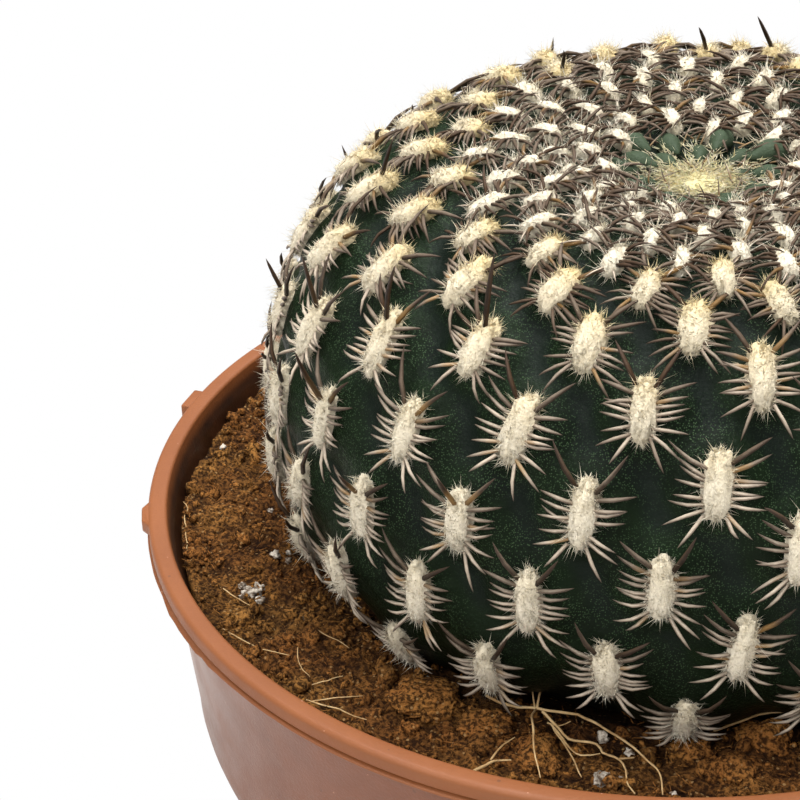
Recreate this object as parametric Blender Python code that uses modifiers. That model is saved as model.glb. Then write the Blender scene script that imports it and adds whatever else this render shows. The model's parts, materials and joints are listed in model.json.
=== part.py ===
"""A round cactus with woolly areoles, growing in coir in a shallow moulded plastic bowl.

Metres, +Z up. The origin is the middle of the pot's underside, and the pot stands on z = 0.
"""

import math
import random

import bmesh
import bpy
from mathutils import Matrix, Vector, noise
from mathutils.bvhtree import BVHTree

MM = 0.001
TOUCH_GAP = 0.3 * MM

# Pot: a thin bowl that is straight below its rim, then turns in along an ellipse to a flat base.
POT_HEIGHT = 48.0 * MM
RIM_RADIUS = 65.0 * MM
RIM_BORE = 62.5 * MM
RIM_DEPTH = 3.0 * MM
LIP_REACH = 0.5 * MM
RIM_EDGE = 0.5 * MM
WALL_TOP_RADIUS = 62.85 * MM
WALL_DRAFT = 0.10
WALL_THICKNESS = 1.6 * MM
CORNER_HEIGHT = 21.5 * MM
CORNER_RADIUS = 31.05 * MM
CORNER_WIDTH = 29.5 * MM
CORNER_DROP = 22.0 * MM
POT_STEPS = 48
CORNER_STEPS = 5
DRAIN_COUNT = 6
DRAIN_RADIUS = 3.0 * MM
DRAIN_CIRCLE = 22.0 * MM
DRAIN_SIDES = 10
DRAIN_CUT_DEPTH = 8.0 * MM

# Moulding lugs under the rim's edge: (azimuth in degrees, width, reach, height, width share at the far end).
LUG_DROP = 0.5 * MM
LUG_SINK = 1.1 * MM
LUGS = (
    (167.4, 4.6 * MM, 1.2 * MM, 2.0 * MM, 1.0),
    (-165.9, 5.6 * MM, 0.7 * MM, 1.8 * MM, 0.25),
)

# Soil: it fills the bowl to a little under the rim and holds the plant in a plain hole.
SOIL_TOP = POT_HEIGHT - 5.3 * MM
SOIL_ROUGHNESS = 0.8 * MM
SOIL_STEPS = 48
SOIL_RING_RADII = (42.0 * MM, 46.5 * MM, 50.0 * MM, 53.5 * MM, 57.0 * MM)
PIT_STEPS = 10
SEAT_GAP = 0.45 * MM
PIT_FLARE = 2.3 * MM
PIT_FLARE_DEPTH = 4.0 * MM
PIT_FLARE_MOST = 1.3
PIT_START = 3.0 * MM
PIT_OVERSHOOT = 2.0 * MM
SOIL_CALM_RADIUS = 61.0 * MM
SOIL_CALM_WIDTH = 6.0 * MM
SOIL_CALM_LEAST = 0.3
BROAD_SWELLS = 60.0
FINE_LUMPS = 170.0

# Cactus body: a squared-off ball of revolution with a sunken crown, a little off the pot's axis.
BODY_X = 4.5 * MM
BODY_RADIUS = 51.2 * MM
BELT_HEIGHT = POT_HEIGHT + 12.6 * MM
DOME_RISE = 37.4 * MM
BELLY_DROP = 29.0 * MM
SQUARENESS = 2.6
CROWN_DIP = 9.2 * MM
CROWN_DIP_RADIUS = 15.0 * MM
TUBERCLE_RISE = 0.8 * MM
FURROW_DEPTH = 1.3 * MM
FURROW_REACH = 20.0 * MM
FURROW_CLOSENESS = 0.985
RELIEF_MARGIN = 2.0 * MM
RELIEF_FADE = 4.0 * MM
ROOT_RADIUS = 13.0 * MM
ROOT_TIP_RADIUS = 7.0 * MM
ROOT_DEPTH = 10.0 * MM
ROOT_OVERLAP = 5.0 * MM
ROOT_SIDES = 14
PROFILE_STEPS = 1600

# Plain rings of the skin: one round the crown's middle, and those in the soil below the lowest areoles.
CROWN_RING_COUNT = 7
CROWN_RING_ARC = 8.0 * MM
SUNK_RING_COUNTS = (34, 30, 24, 16)
SUNK_RING_START = 5.4 * MM
SUNK_RING_STEP = 9.0 * MM

# Areoles: one growth spiral. Each new areole turns by the divergence angle of the 3, 7, 10, 17 series, and
# moves towards the crown by a step that shrinks on the top of the plant.
GOLDEN = (1 + math.sqrt(5)) / 2
DIVERGENCE = math.tau / (3 + 1 / (2 + 1 / GOLDEN))
FIRST_AZIMUTH = math.radians(-117.7)
FIRST_ARC = 64.9 * MM
CROWN_STEP = 0.17 * MM
BODY_STEP = 0.422 * MM
YOUNG_ARC = 30.3 * MM
GROWTH_ARC = 6.2 * MM
LOWEST_ARC = 87.3 * MM
HIGHEST_ARC = 13.6 * MM
PAD_HALF_LENGTH = 4.2 * MM
PAD_HALF_WIDTH = 1.6 * MM
PAD_RISE = 1.8 * MM
CROWN_WOOL_RADIUS = 8.0 * MM
CROWN_WOOL_RISE = 2.2 * MM
CROWN_WOOL_LIFT = 0.6 * MM

# Shapes of a wool pad as (along, across, rise) shares of its half length, half width and rise.
OLD_PAD = (
    (1.0, 0.0, 0.0),
    (0.45, 1.0, 0.0),
    (-0.45, 1.0, 0.0),
    (-1.0, 0.0, 0.0),
    (-0.45, -1.0, 0.0),
    (0.45, -1.0, 0.0),
    (0.42, 0.0, 1.0),
    (-0.42, 0.0, 0.9),
)
YOUNG_PAD = (
    (1.0, 0.0, 0.0),
    (0.0, 1.0, 0.0),
    (-1.0, 0.0, 0.0),
    (0.0, -1.0, 0.0),
    (0.0, 0.0, 1.0),
)

# Spines: (place along the pad from -1 to 1, then shares of side, up and out, then length).
SPINE_RADIUS = 0.38 * MM
SPINE_SINK = 0.9 * MM
ROOT_SHARE = 0.40
BODY_SPINES = (
    (-0.18, 1.0, -0.10, 0.42, 5.6 * MM),
    (-0.18, -1.0, -0.10, 0.42, 5.6 * MM),
    (0.60, 0.80, 0.58, 0.42, 7.8 * MM),
    (0.60, -0.80, 0.58, 0.42, 7.8 * MM),
)
CENTRAL_SPINE = (0.80, 0.0, 0.75, 0.66, 9.5 * MM)
CENTRAL_SHARE = 0.2
CROWN_SPINE = (0.0, 0.85, 0.35, 0.50, 7.5 * MM)
SPINE_CLEARANCE = 1.8 * MM
LENGTH_SPREAD = 0.1
CROWN_SPINES = 9
CROWN_SPINE_LIFT = 0.9 * MM
CROWN_SPINE_LENGTHS = (5.0 * MM, 7.0 * MM)

# Loose root fibres: (azimuth in degrees, distance from the pot's axis in mm) along each one.
FIBRE_RADIUS = 0.35 * MM
FIBRE_POINTS = 8
FIBRE_CLEARANCE = 1.6 * MM
FIBRES = (
    ((-146.9, 58.6), (-144.0, 57.0), (-141.0, 56.4), (-138.0, 55.2)),
    ((-130.0, 57.8), (-126.5, 56.6), (-122.0, 57.2), (-117.0, 56.0)),
    ((-103.5, 51.5), (-99.0, 50.8), (-95.0, 52.6), (-92.0, 55.0), (-88.0, 56.6)),
    ((-106.5, 52.2), (-108.0, 54.4), (-106.5, 57.4)),
    ((-79.1, 50.6), (-75.0, 52.4), (-70.0, 51.6), (-64.5, 53.4)),
    ((38.0, 57.5), (44.0, 56.2), (51.0, 57.6), (57.0, 56.4)),
)


def clear_scene():
    for thing in list(bpy.data.objects):
        bpy.data.objects.remove(thing, do_unlink=True)


def new_material(name, colour, roughness):
    material = bpy.data.materials.new(name)
    material.use_nodes = True
    shader = material.node_tree.nodes["Principled BSDF"]
    shader.inputs["Base Color"].default_value = (*colour, 1.0)
    shader.inputs["Roughness"].default_value = roughness
    shader.inputs["Metallic"].default_value = 0.0
    return material


def mesh_object(name, mesh_data, material, collection):
    mesh = bpy.data.meshes.new(name)
    mesh_data.to_mesh(mesh)
    mesh_data.free()
    if material is not None:
        mesh.materials.append(material)
    thing = bpy.data.objects.new(name, mesh)
    collection.objects.link(thing)
    return thing


def smooth_shade(thing, angle):
    thing.data.shade_smooth()
    thing.data.set_sharp_from_angle(angle=math.radians(angle))


def evaluated_copy(thing):
    """The object's mesh as its modifiers leave it."""
    graph = bpy.context.evaluated_depsgraph_get()
    return bpy.data.meshes.new_from_object(thing.evaluated_get(graph))


def turned(name, outline, steps, material, collection):
    """A profile of (radius, height) points, run down its outer side, turned about Z with a Screw modifier."""
    profile = bmesh.new()
    points = [profile.verts.new((radius, 0.0, height)) for radius, height in outline]
    for here, after in zip(points, points[1:] + points[:1]):
        if here.co.x > 0.0 or after.co.x > 0.0:
            profile.edges.new((here, after))
    thing = mesh_object(name, profile, material, collection)
    screw = thing.modifiers.new("Turn", "SCREW")
    screw.steps = steps
    screw.render_steps = steps
    screw.use_merge_vertices = True
    screw.merge_threshold = 0.00001
    return thing


# Pot


def wall_radius(height, inset):
    """Radius of the bowl's wall at a height, moved in by inset."""
    straight = WALL_TOP_RADIUS - WALL_DRAFT * (POT_HEIGHT - RIM_DEPTH - height)
    if height >= CORNER_HEIGHT:
        return straight - inset
    drop = min((CORNER_HEIGHT - height) / (CORNER_DROP - inset), 1.0)
    return CORNER_RADIUS + (CORNER_WIDTH - inset) * math.sqrt(1.0 - drop * drop)


def wall_outline(inset, top, floor):
    """Points down the wall from its top to its floor, moved in by inset."""
    outline = [(wall_radius(top, inset), top)]
    lowest = math.asin(min((CORNER_HEIGHT - floor) / (CORNER_DROP - inset), 1.0))
    for step in range(CORNER_STEPS + 1):
        height = CORNER_HEIGHT - (CORNER_DROP - inset) * math.sin(lowest * step / CORNER_STEPS)
        outline.append((wall_radius(height, inset), height))
    return outline


def pot_outline():
    """The bowl's closed section: outer side downwards, underside, then the inner side upwards."""
    rim_under = POT_HEIGHT - RIM_DEPTH
    outer = [
        (RIM_BORE + RIM_EDGE, POT_HEIGHT),
        (RIM_RADIUS - RIM_EDGE, POT_HEIGHT),
        (RIM_RADIUS, POT_HEIGHT - RIM_EDGE),
        (RIM_RADIUS, rim_under + 1.3 * RIM_EDGE + LIP_REACH),
        (RIM_RADIUS - LIP_REACH, rim_under + RIM_EDGE + LIP_REACH),
        (RIM_RADIUS + 0.4 * LIP_REACH, rim_under + RIM_EDGE),
        (RIM_RADIUS, rim_under),
    ]
    outer += wall_outline(0.0, rim_under, 0.0)
    inner = wall_outline(WALL_THICKNESS, POT_HEIGHT - 2.0 * RIM_DEPTH, WALL_THICKNESS)
    inner.reverse()
    return outer + [(0.0, 0.0), (0.0, WALL_THICKNESS)] + inner + [(RIM_BORE, POT_HEIGHT - 1.4 * RIM_EDGE)]


def lug(azimuth, width, reach, height, point, collection):
    """A small block on the rim's outside, tapered towards its far end by point."""
    block = bmesh.new()
    bmesh.ops.create_cube(block, size=1.0)
    depth = reach + LUG_SINK
    for vert in block.verts:
        taper = point if vert.co.x > 0.0 else 1.0
        vert.co = Vector((vert.co.x * depth, vert.co.y * width * taper, vert.co.z * height))
    thing = mesh_object("lug", block, None, collection)
    spot = Vector((RIM_RADIUS + reach - depth / 2.0, 0.0, POT_HEIGHT - LUG_DROP - height / 2.0))
    thing.matrix_world = Matrix.Rotation(azimuth, 4, "Z") @ Matrix.Translation(spot)
    return thing


def make_pot(collection, helpers, material):
    pot = turned("pot", pot_outline(), POT_STEPS, material, collection)
    lugs = bpy.data.collections.new("lugs")
    helpers.children.link(lugs)
    for azimuth, width, reach, height, point in LUGS:
        lug(math.radians(azimuth), width, reach, height, point, lugs)
    drains = bpy.data.collections.new("drains")
    helpers.children.link(drains)
    for number in range(DRAIN_COUNT):
        angle = math.tau * (number + 0.5) / DRAIN_COUNT
        hole = bmesh.new()
        bmesh.ops.create_cone(
            hole,
            cap_ends=True,
            segments=DRAIN_SIDES,
            radius1=DRAIN_RADIUS,
            radius2=DRAIN_RADIUS,
            depth=DRAIN_CUT_DEPTH,
        )
        place = Vector((math.cos(angle), math.sin(angle), 0.0)) * DRAIN_CIRCLE
        mesh_object("drain", hole, None, drains).location = place
    for title, operation, others in (("Lugs", "UNION", lugs), ("Drains", "DIFFERENCE", drains)):
        join = pot.modifiers.new(title, "BOOLEAN")
        join.operation = operation
        join.operand_type = "COLLECTION"
        join.collection = others
        join.solver = "EXACT"
    apply_and_drop(pot, (lugs, drains))
    smooth_shade(pot, 35)
    return pot


def apply_and_drop(thing, collections):
    """Makes the modifiers' result the object's own mesh, then removes what they used."""
    bpy.context.view_layer.update()
    result = evaluated_copy(thing)
    thing.modifiers.clear()
    thing.data = result
    for helper in collections:
        for other in list(helper.objects):
            bpy.data.objects.remove(other, do_unlink=True)
        bpy.data.collections.remove(helper)


# Cactus body


def body_profile():
    """Rows of (arc from the crown, radius, height, height before the crown sinks), crown to underside."""
    rows = []
    arc = 0.0
    for step in range(PROFILE_STEPS + 1):
        turn = math.pi / 2.0 - math.pi * step / PROFILE_STEPS
        radius = BODY_RADIUS * max(math.cos(turn), 0.0) ** (2.0 / SQUARENESS)
        reach = abs(math.sin(turn)) ** (2.0 / SQUARENESS)
        full = BELT_HEIGHT + (DOME_RISE * reach if turn > 0.0 else -BELLY_DROP * reach)
        dip = CROWN_DIP * math.exp(-((radius / CROWN_DIP_RADIUS) ** 2)) if turn > 0.0 else 0.0
        if rows:
            arc += math.hypot(radius - rows[-1][1], full - dip - rows[-1][2])
        rows.append((arc, radius, full - dip, full))
    return rows


class Body:
    """Places on the body's smooth surface by azimuth and by arc length from the crown's centre."""

    def __init__(self):
        self.rows = body_profile()
        self.axis = Vector((BODY_X, 0.0, 0.0))

    def row(self, arc):
        low = 0
        high = len(self.rows) - 1
        while high - low > 1:
            middle = (low + high) // 2
            if self.rows[middle][0] <= arc:
                low = middle
            else:
                high = middle
        span = self.rows[high][0] - self.rows[low][0]
        share = (arc - self.rows[low][0]) / span if span > 0.0 else 0.0
        mixed = [a + (b - a) * share for a, b in zip(self.rows[low], self.rows[high])]
        return mixed, self.rows[low], self.rows[high]

    def arc_at_height(self, height):
        """Arc length where the lower half of the body passes a height."""
        for arc, _, level, _ in self.rows:
            if level < height and arc > FIRST_ARC:
                return arc
        return self.rows[-1][0]

    def place(self, azimuth, arc, lift=0.0):
        (_, radius, height, _), before, after = self.row(arc)
        along = Vector((after[1] - before[1], after[2] - before[2])).normalized()
        across = Vector((math.cos(azimuth), math.sin(azimuth), 0.0))
        side = Vector((-math.sin(azimuth), math.cos(azimuth), 0.0))
        up = -(across * along.x + Vector((0.0, 0.0, along.y)))
        out = across * -along.y + Vector((0.0, 0.0, along.x))
        return self.axis + across * radius + Vector((0.0, 0.0, height)) + out * lift, side, up, out

    def hull_point(self, azimuth, arc):
        """A direction from the body's middle, so that neighbours on the body are neighbours on a ball."""
        (_, radius, _, full), _, _ = self.row(arc)
        return Vector((radius * math.cos(azimuth), radius * math.sin(azimuth), full - BELT_HEIGHT)).normalized()


def growth_step(arc):
    if arc <= YOUNG_ARC:
        return CROWN_STEP
    return CROWN_STEP + (BODY_STEP - CROWN_STEP) * (1.0 - math.exp((YOUNG_ARC - arc) / GROWTH_ARC))


def areoles(body):
    """(azimuth, arc, size) of each areole. Size is 1 on the old body and falls towards the crown."""
    places = []
    for way in (1, -1):
        azimuth = FIRST_AZIMUTH
        arc = FIRST_ARC
        while HIGHEST_ARC < arc < LOWEST_ARC:
            if way == 1 or arc != FIRST_ARC:
                radius = body.row(arc)[0][1]
                crowding = growth_step(arc) * radius / (BODY_STEP * BODY_RADIUS)
                places.append((azimuth, arc, min(math.sqrt(crowding), 1.0)))
            azimuth = (azimuth + way * DIVERGENCE) % math.tau
            arc += way * growth_step(arc)
    return places


def relief_fade(arc, soil_arc):
    """1 on the free body, falling to 0 where the body goes into the soil."""
    return min(max((soil_arc - RELIEF_MARGIN - arc) / RELIEF_FADE, 0.0), 1.0)


def tubercle_rise(arc, size, soil_arc):
    return TUBERCLE_RISE * size * relief_fade(arc, soil_arc)


def skin_spots(body, places, soil_arc):
    """(azimuth, arc, lift, pad number) of each point of the skin: wool pads, crown, and rings in the soil."""
    spots = []
    for number, (azimuth, arc, size) in enumerate(places):
        half_length, half_width, rise = pad_size(size)
        base = tubercle_rise(arc, size, soil_arc)
        radius = body.row(arc)[0][1]
        for along, across, height in YOUNG_PAD if arc < YOUNG_ARC else OLD_PAD:
            turn = across * half_width / radius
            spots.append((azimuth + turn, arc - along * half_length, base + height * rise, number))
    spots += [(math.tau * turn / CROWN_RING_COUNT, CROWN_RING_ARC, 0.0, -1) for turn in range(CROWN_RING_COUNT)]
    spots += [(0.0, 0.0, 0.0, -1)]
    for level, count in enumerate(SUNK_RING_COUNTS):
        ring_arc = LOWEST_ARC + SUNK_RING_START + level * SUNK_RING_STEP
        spots += [(math.tau * (turn + 0.5 * level) / count, ring_arc, 0.0, -1) for turn in range(count)]
    return spots + [(0.0, body.rows[-1][0], 0.0, -1)]


def furrow_spots(body, places, soil_arc):
    """The middle of each three neighbouring old areoles, sunk below the skin."""
    ball = bmesh.new()
    for azimuth, arc, _ in places:
        ball.verts.new(body.hull_point(azimuth, arc))
    ball.verts.ensure_lookup_table()
    bmesh.ops.convex_hull(ball, input=ball.verts)
    spots = []
    for face in ball.faces:
        trio = [places[vert.index] for vert in face.verts]
        arcs = [arc for _, arc, _ in trio]
        across = sum(math.cos(azimuth) for azimuth, _, _ in trio) / 3.0
        along = sum(math.sin(azimuth) for azimuth, _, _ in trio) / 3.0
        apart = max(arcs) - min(arcs) > FURROW_REACH or math.hypot(across, along) < FURROW_CLOSENESS
        if min(arcs) < YOUNG_ARC or apart:
            continue
        arc = sum(arcs) / 3.0
        depth = FURROW_DEPTH * growth_step(arc) / BODY_STEP * relief_fade(arc, soil_arc)
        spots.append((math.atan2(along, across), arc, -depth, -1))
    ball.free()
    return spots


def body_skin(body, places):
    """The skin with its tubercles, furrows and wool pads, skinned as neighbours on a ball are."""
    soil_arc = body.arc_at_height(SOIL_TOP)
    spots = skin_spots(body, places, soil_arc) + furrow_spots(body, places, soil_arc)
    skin = bmesh.new()
    for azimuth, arc, _, _ in spots:
        skin.verts.new(body.hull_point(azimuth, arc))
    skin.verts.ensure_lookup_table()
    bmesh.ops.convex_hull(skin, input=skin.verts)
    for face in skin.faces:
        pads = {spots[vert.index][3] for vert in face.verts}
        face.material_index = 1 if len(pads) == 1 and -1 not in pads else 0
    for vert in skin.verts:
        azimuth, arc, lift, _ = spots[vert.index]
        vert.co = body.place(azimuth, arc, lift)[0]
    bmesh.ops.recalc_face_normals(skin, faces=skin.faces)
    return skin


def pad_size(size):
    """Half length, half width and rise of the wool pad of an areole."""
    return PAD_HALF_LENGTH * size**0.7, PAD_HALF_WIDTH * size**0.5, PAD_RISE * size**0.5


def unit_needle():
    """A three-sided needle from z = 0 to a point at z = 1, with a root of radius 1."""
    needle = bmesh.new()
    bmesh.ops.create_cone(needle, cap_ends=True, segments=3, radius1=1.0, radius2=0.0, depth=1.0)
    bmesh.ops.translate(needle, verts=needle.verts, vec=(0.0, 0.0, 0.5))
    bmesh.ops.remove_doubles(needle, verts=needle.verts, dist=0.0001)
    return needle


def place_needle(mesh, root, direction, length, radius, collection):
    needle = bpy.data.objects.new("needle", mesh)
    facing = direction.to_track_quat("Z", "Y").to_matrix().to_4x4()
    size = Matrix.Diagonal((radius, radius, length + SPINE_SINK, 1.0))
    needle.matrix_world = Matrix.Translation(root - direction * SPINE_SINK) @ facing @ size
    collection.objects.link(needle)


def spine_direction(side, up, out, shares, root, length):
    """The spine's way, turned outwards until its tip stays over the soil."""
    lean, climb, lift = shares
    direction = (side * lean + up * climb + out * lift).normalized()
    for _ in range(12):
        if root.z + direction.z * length > SOIL_TOP + SPINE_CLEARANCE:
            break
        direction = (direction + up * 0.15).normalized()
    return direction


def make_cactus(collection, helpers, materials):
    """The body, pads and spines, joined by one Boolean union, because they grew as one piece."""
    skin_material, wool_material, spine_material = materials
    draw = random.Random(7)
    body = Body()
    places = areoles(body)
    cactus = mesh_object("cactus", body_skin(body, places), skin_material, collection)
    cactus.data.materials.append(wool_material)
    grown = bpy.data.collections.new("grown")
    helpers.children.link(grown)

    needle_form = unit_needle()
    needle_mesh = bpy.data.meshes.new("needle")
    needle_form.to_mesh(needle_mesh)
    needle_form.free()
    needle_mesh.materials.append(spine_material)

    soil_arc = body.arc_at_height(SOIL_TOP)
    for number, (azimuth, arc, size) in enumerate(places):
        half_length, half_width, rise = pad_size(size)
        lift = tubercle_rise(arc, size, soil_arc) + ROOT_SHARE * rise
        spot, side, up, out = body.place(azimuth, arc, lift)
        hand = 1.0
        spines = BODY_SPINES
        if arc < YOUNG_ARC:
            spines = (CROWN_SPINE,) if number % 2 == 0 else ()
            hand = 1.0 if number % 4 == 0 else -1.0
        elif draw.random() < CENTRAL_SHARE:
            spines += (CENTRAL_SPINE,)
        for along, lean, climb, lift, length in spines:
            root = spot + up * (along * half_length) + side * (0.5 * lean * hand * half_width)
            length *= (0.75 + 0.25 * size) * draw.uniform(1.0 - LENGTH_SPREAD, 1.0 + LENGTH_SPREAD)
            direction = spine_direction(side, up, out, (lean * hand, climb, lift), root, length)
            place_needle(needle_mesh, root, direction, length, SPINE_RADIUS * (0.7 + 0.3 * size), grown)

    centre, side, up, out = body.place(0.0, 0.0)
    wool = bmesh.new()
    bmesh.ops.create_uvsphere(wool, u_segments=10, v_segments=4, radius=1.0)
    wool_mound = mesh_object("crown_wool", wool, wool_material, grown)
    mound_size = Matrix.Diagonal((CROWN_WOOL_RADIUS, CROWN_WOOL_RADIUS, CROWN_WOOL_RISE, 1.0))
    wool_mound.matrix_world = Matrix.Translation(centre + Vector((0.0, 0.0, CROWN_WOOL_LIFT))) @ mound_size
    for number in range(CROWN_SPINES):
        angle = DIVERGENCE * number
        reach = CROWN_WOOL_RADIUS * math.sqrt((number + 0.5) / (CROWN_SPINES + 3.0))
        across = Vector((math.cos(angle), math.sin(angle), 0.0))
        root = centre + across * reach + Vector((0.0, 0.0, CROWN_SPINE_LIFT))
        direction = (across * draw.uniform(0.1, 0.7) + Vector((0.0, 0.0, 1.0))).normalized()
        length = draw.uniform(*CROWN_SPINE_LENGTHS)
        place_needle(needle_mesh, root, direction, length, 0.8 * SPINE_RADIUS, grown)

    neck = bmesh.new()
    bmesh.ops.create_cone(
        neck,
        cap_ends=True,
        segments=ROOT_SIDES,
        radius1=ROOT_TIP_RADIUS,
        radius2=ROOT_RADIUS,
        depth=ROOT_DEPTH + ROOT_OVERLAP,
    )
    underside = BELT_HEIGHT - BELLY_DROP
    root_neck = mesh_object("neck", neck, skin_material, grown)
    root_neck.location = (BODY_X, 0.0, underside + (ROOT_OVERLAP - ROOT_DEPTH) / 2.0)

    join = cactus.modifiers.new("Grown together", "BOOLEAN")
    join.operation = "UNION"
    join.operand_type = "COLLECTION"
    join.collection = grown
    join.solver = "EXACT"
    join.material_mode = "TRANSFER"
    apply_and_drop(cactus, (grown,))
    smooth_shade(cactus, 50)
    return cactus


# Soil


def soil_lift(x, y):
    """Height of the coir above its mean level: broad swells and crumbly lumps."""
    broad = noise.noise(Vector((x, y, 0.0)) * BROAD_SWELLS)
    lumps = noise.noise(Vector((x + 0.3, y, 0.1)) * FINE_LUMPS)
    return SOIL_ROUGHNESS * (0.7 * broad + 0.9 * lumps)


def pit_cutter(helpers):
    """The plain hole that the plant stands in: the body's underside and root neck, moved out by a gap."""
    body = Body()
    start = body.arc_at_height(SOIL_TOP + PIT_START)
    last = body.rows[-1][0]
    outline = []
    for step in range(PIT_STEPS):
        arc = start + (last - start) * step / PIT_STEPS
        height = body.row(arc)[0][2]
        flare = PIT_FLARE * min(max(1.0 - (SOIL_TOP - height) / PIT_FLARE_DEPTH, 0.0), PIT_FLARE_MOST)
        point = body.place(0.0, arc, SEAT_GAP + flare)[0] - body.axis
        if point.x > ROOT_RADIUS + SEAT_GAP:
            outline.append((point.x, point.z))
    underside = BELT_HEIGHT - BELLY_DROP
    outline.append((ROOT_RADIUS + SEAT_GAP, underside - SEAT_GAP))
    outline.append((ROOT_TIP_RADIUS + SEAT_GAP, underside - ROOT_DEPTH - SEAT_GAP))
    outline.append((0.0, underside - ROOT_DEPTH - SEAT_GAP))
    width, top = outline[0]
    outline = [(0.0, top + PIT_OVERSHOOT), (width, top + PIT_OVERSHOOT)] + outline
    cutter = turned("pit", outline, SOIL_STEPS, None, helpers)
    cutter.location.x = BODY_X
    cutter.hide_render = True
    cutter.display_type = "WIRE"
    return cutter


def make_soil(collection, helpers, material):
    """The coir as one turned fill, its top broken into lumps, with the plain hole that the plant stands in."""
    inset = WALL_THICKNESS + TOUCH_GAP
    outline = [(0.0, SOIL_TOP)]
    outline += [(radius, SOIL_TOP) for radius in SOIL_RING_RADII]
    outline += wall_outline(inset, SOIL_TOP, inset)
    outline += [(0.0, inset)]
    soil = turned("soil", outline, SOIL_STEPS, material, collection)
    apply_and_drop(soil, ())
    for vert in soil.data.vertices:
        x, y, z = vert.co
        if z > SOIL_TOP - 0.1 * MM:
            edge = min((SOIL_CALM_RADIUS - math.hypot(x, y)) / SOIL_CALM_WIDTH, 1.0)
            vert.co.z += soil_lift(x, y) * max(edge, SOIL_CALM_LEAST)
    pits = bpy.data.collections.new("pits")
    helpers.children.link(pits)
    cutter = pit_cutter(pits)
    cut = soil.modifiers.new("Pit", "BOOLEAN")
    cut.operation = "DIFFERENCE"
    cut.operand_type = "OBJECT"
    cut.object = cutter
    cut.solver = "EXACT"
    apply_and_drop(soil, (pits,))
    smooth_shade(soil, 50)
    return soil


# Loose root fibres


def route_point(points, share):
    """A place on the smooth curve through (azimuth, distance) points, share running from 0 to 1."""
    last = len(points) - 1
    span = min(int(share * last), last - 1)
    part = share * last - span
    before = points[max(span - 1, 0)]
    here = points[span]
    there = points[span + 1]
    after = points[min(span + 2, last)]
    mixed = []
    for a, b, c, d in zip(before, here, there, after):
        mixed.append(
            b + 0.5 * part * (c - a + part * (2 * a - 5 * b + 4 * c - d + part * (3 * (b - c) + d - a)))
        )
    azimuth, distance = math.radians(mixed[0]), mixed[1] * MM
    return Vector((distance * math.cos(azimuth), distance * math.sin(azimuth), 0.0))


def ground_height(ground, place, reach):
    """The highest point of the soil within reach of a place."""
    turns = [math.tau * turn / 8 for turn in range(8)]
    around = [Vector((math.cos(turn), math.sin(turn), 0.0)) * reach for turn in turns]
    above = place + Vector((0.0, 0.0, POT_HEIGHT))
    spots = [ground.ray_cast(above + offset, Vector((0.0, 0.0, -1.0)))[0] for offset in [Vector()] + around]
    return max(spot.z for spot in spots)


def make_fibres(collection, soil, material):
    """Each fibre is a thin tube that lies on the highest lumps along its way."""
    ground = BVHTree.FromObject(soil, bpy.context.evaluated_depsgraph_get())
    for number, points in enumerate(FIBRES, start=1):
        curve = bpy.data.curves.new(f"root_fibre_{number}", "CURVE")
        curve.dimensions = "3D"
        curve.bevel_depth = FIBRE_RADIUS
        curve.bevel_resolution = 1
        curve.use_fill_caps = True
        spline = curve.splines.new("POLY")
        spline.points.add(FIBRE_POINTS - 1)
        for index, point in enumerate(spline.points):
            place = route_point(points, index / (FIBRE_POINTS - 1))
            height = ground_height(ground, place, FIBRE_CLEARANCE) + FIBRE_RADIUS + TOUCH_GAP
            point.co = (place.x, place.y, height, 1.0)
        curve.materials.append(material)
        fibre = bpy.data.objects.new(f"root_fibre_{number}", curve)
        collection.objects.link(fibre)


def main():
    clear_scene()
    plant = bpy.data.collections.new("potted_round_cactus")
    bpy.context.scene.collection.children.link(plant)
    helpers = bpy.data.collections.new("helpers")
    bpy.context.scene.collection.children.link(helpers)

    terracotta = new_material("terracotta_plastic", (0.50, 0.17, 0.075), 0.5)
    coir = new_material("coir", (0.13, 0.055, 0.02), 0.95)
    green = new_material("cactus_skin", (0.018, 0.045, 0.030), 0.5)
    wool = new_material("areole_wool", (0.72, 0.66, 0.50), 0.9)
    spine = new_material("spine", (0.28, 0.22, 0.16), 0.6)
    root = new_material("root_fibre", (0.55, 0.40, 0.22), 0.8)

    make_pot(plant, helpers, terracotta)
    make_cactus(plant, helpers, (green, wool, spine))
    soil = make_soil(plant, helpers, coir)
    make_fibres(plant, soil, root)
    bpy.data.collections.remove(helpers)


main()
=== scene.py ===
import json
import math

import bmesh
import bpy
import numpy as np
from mathutils import Matrix, Vector, kdtree, noise

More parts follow.
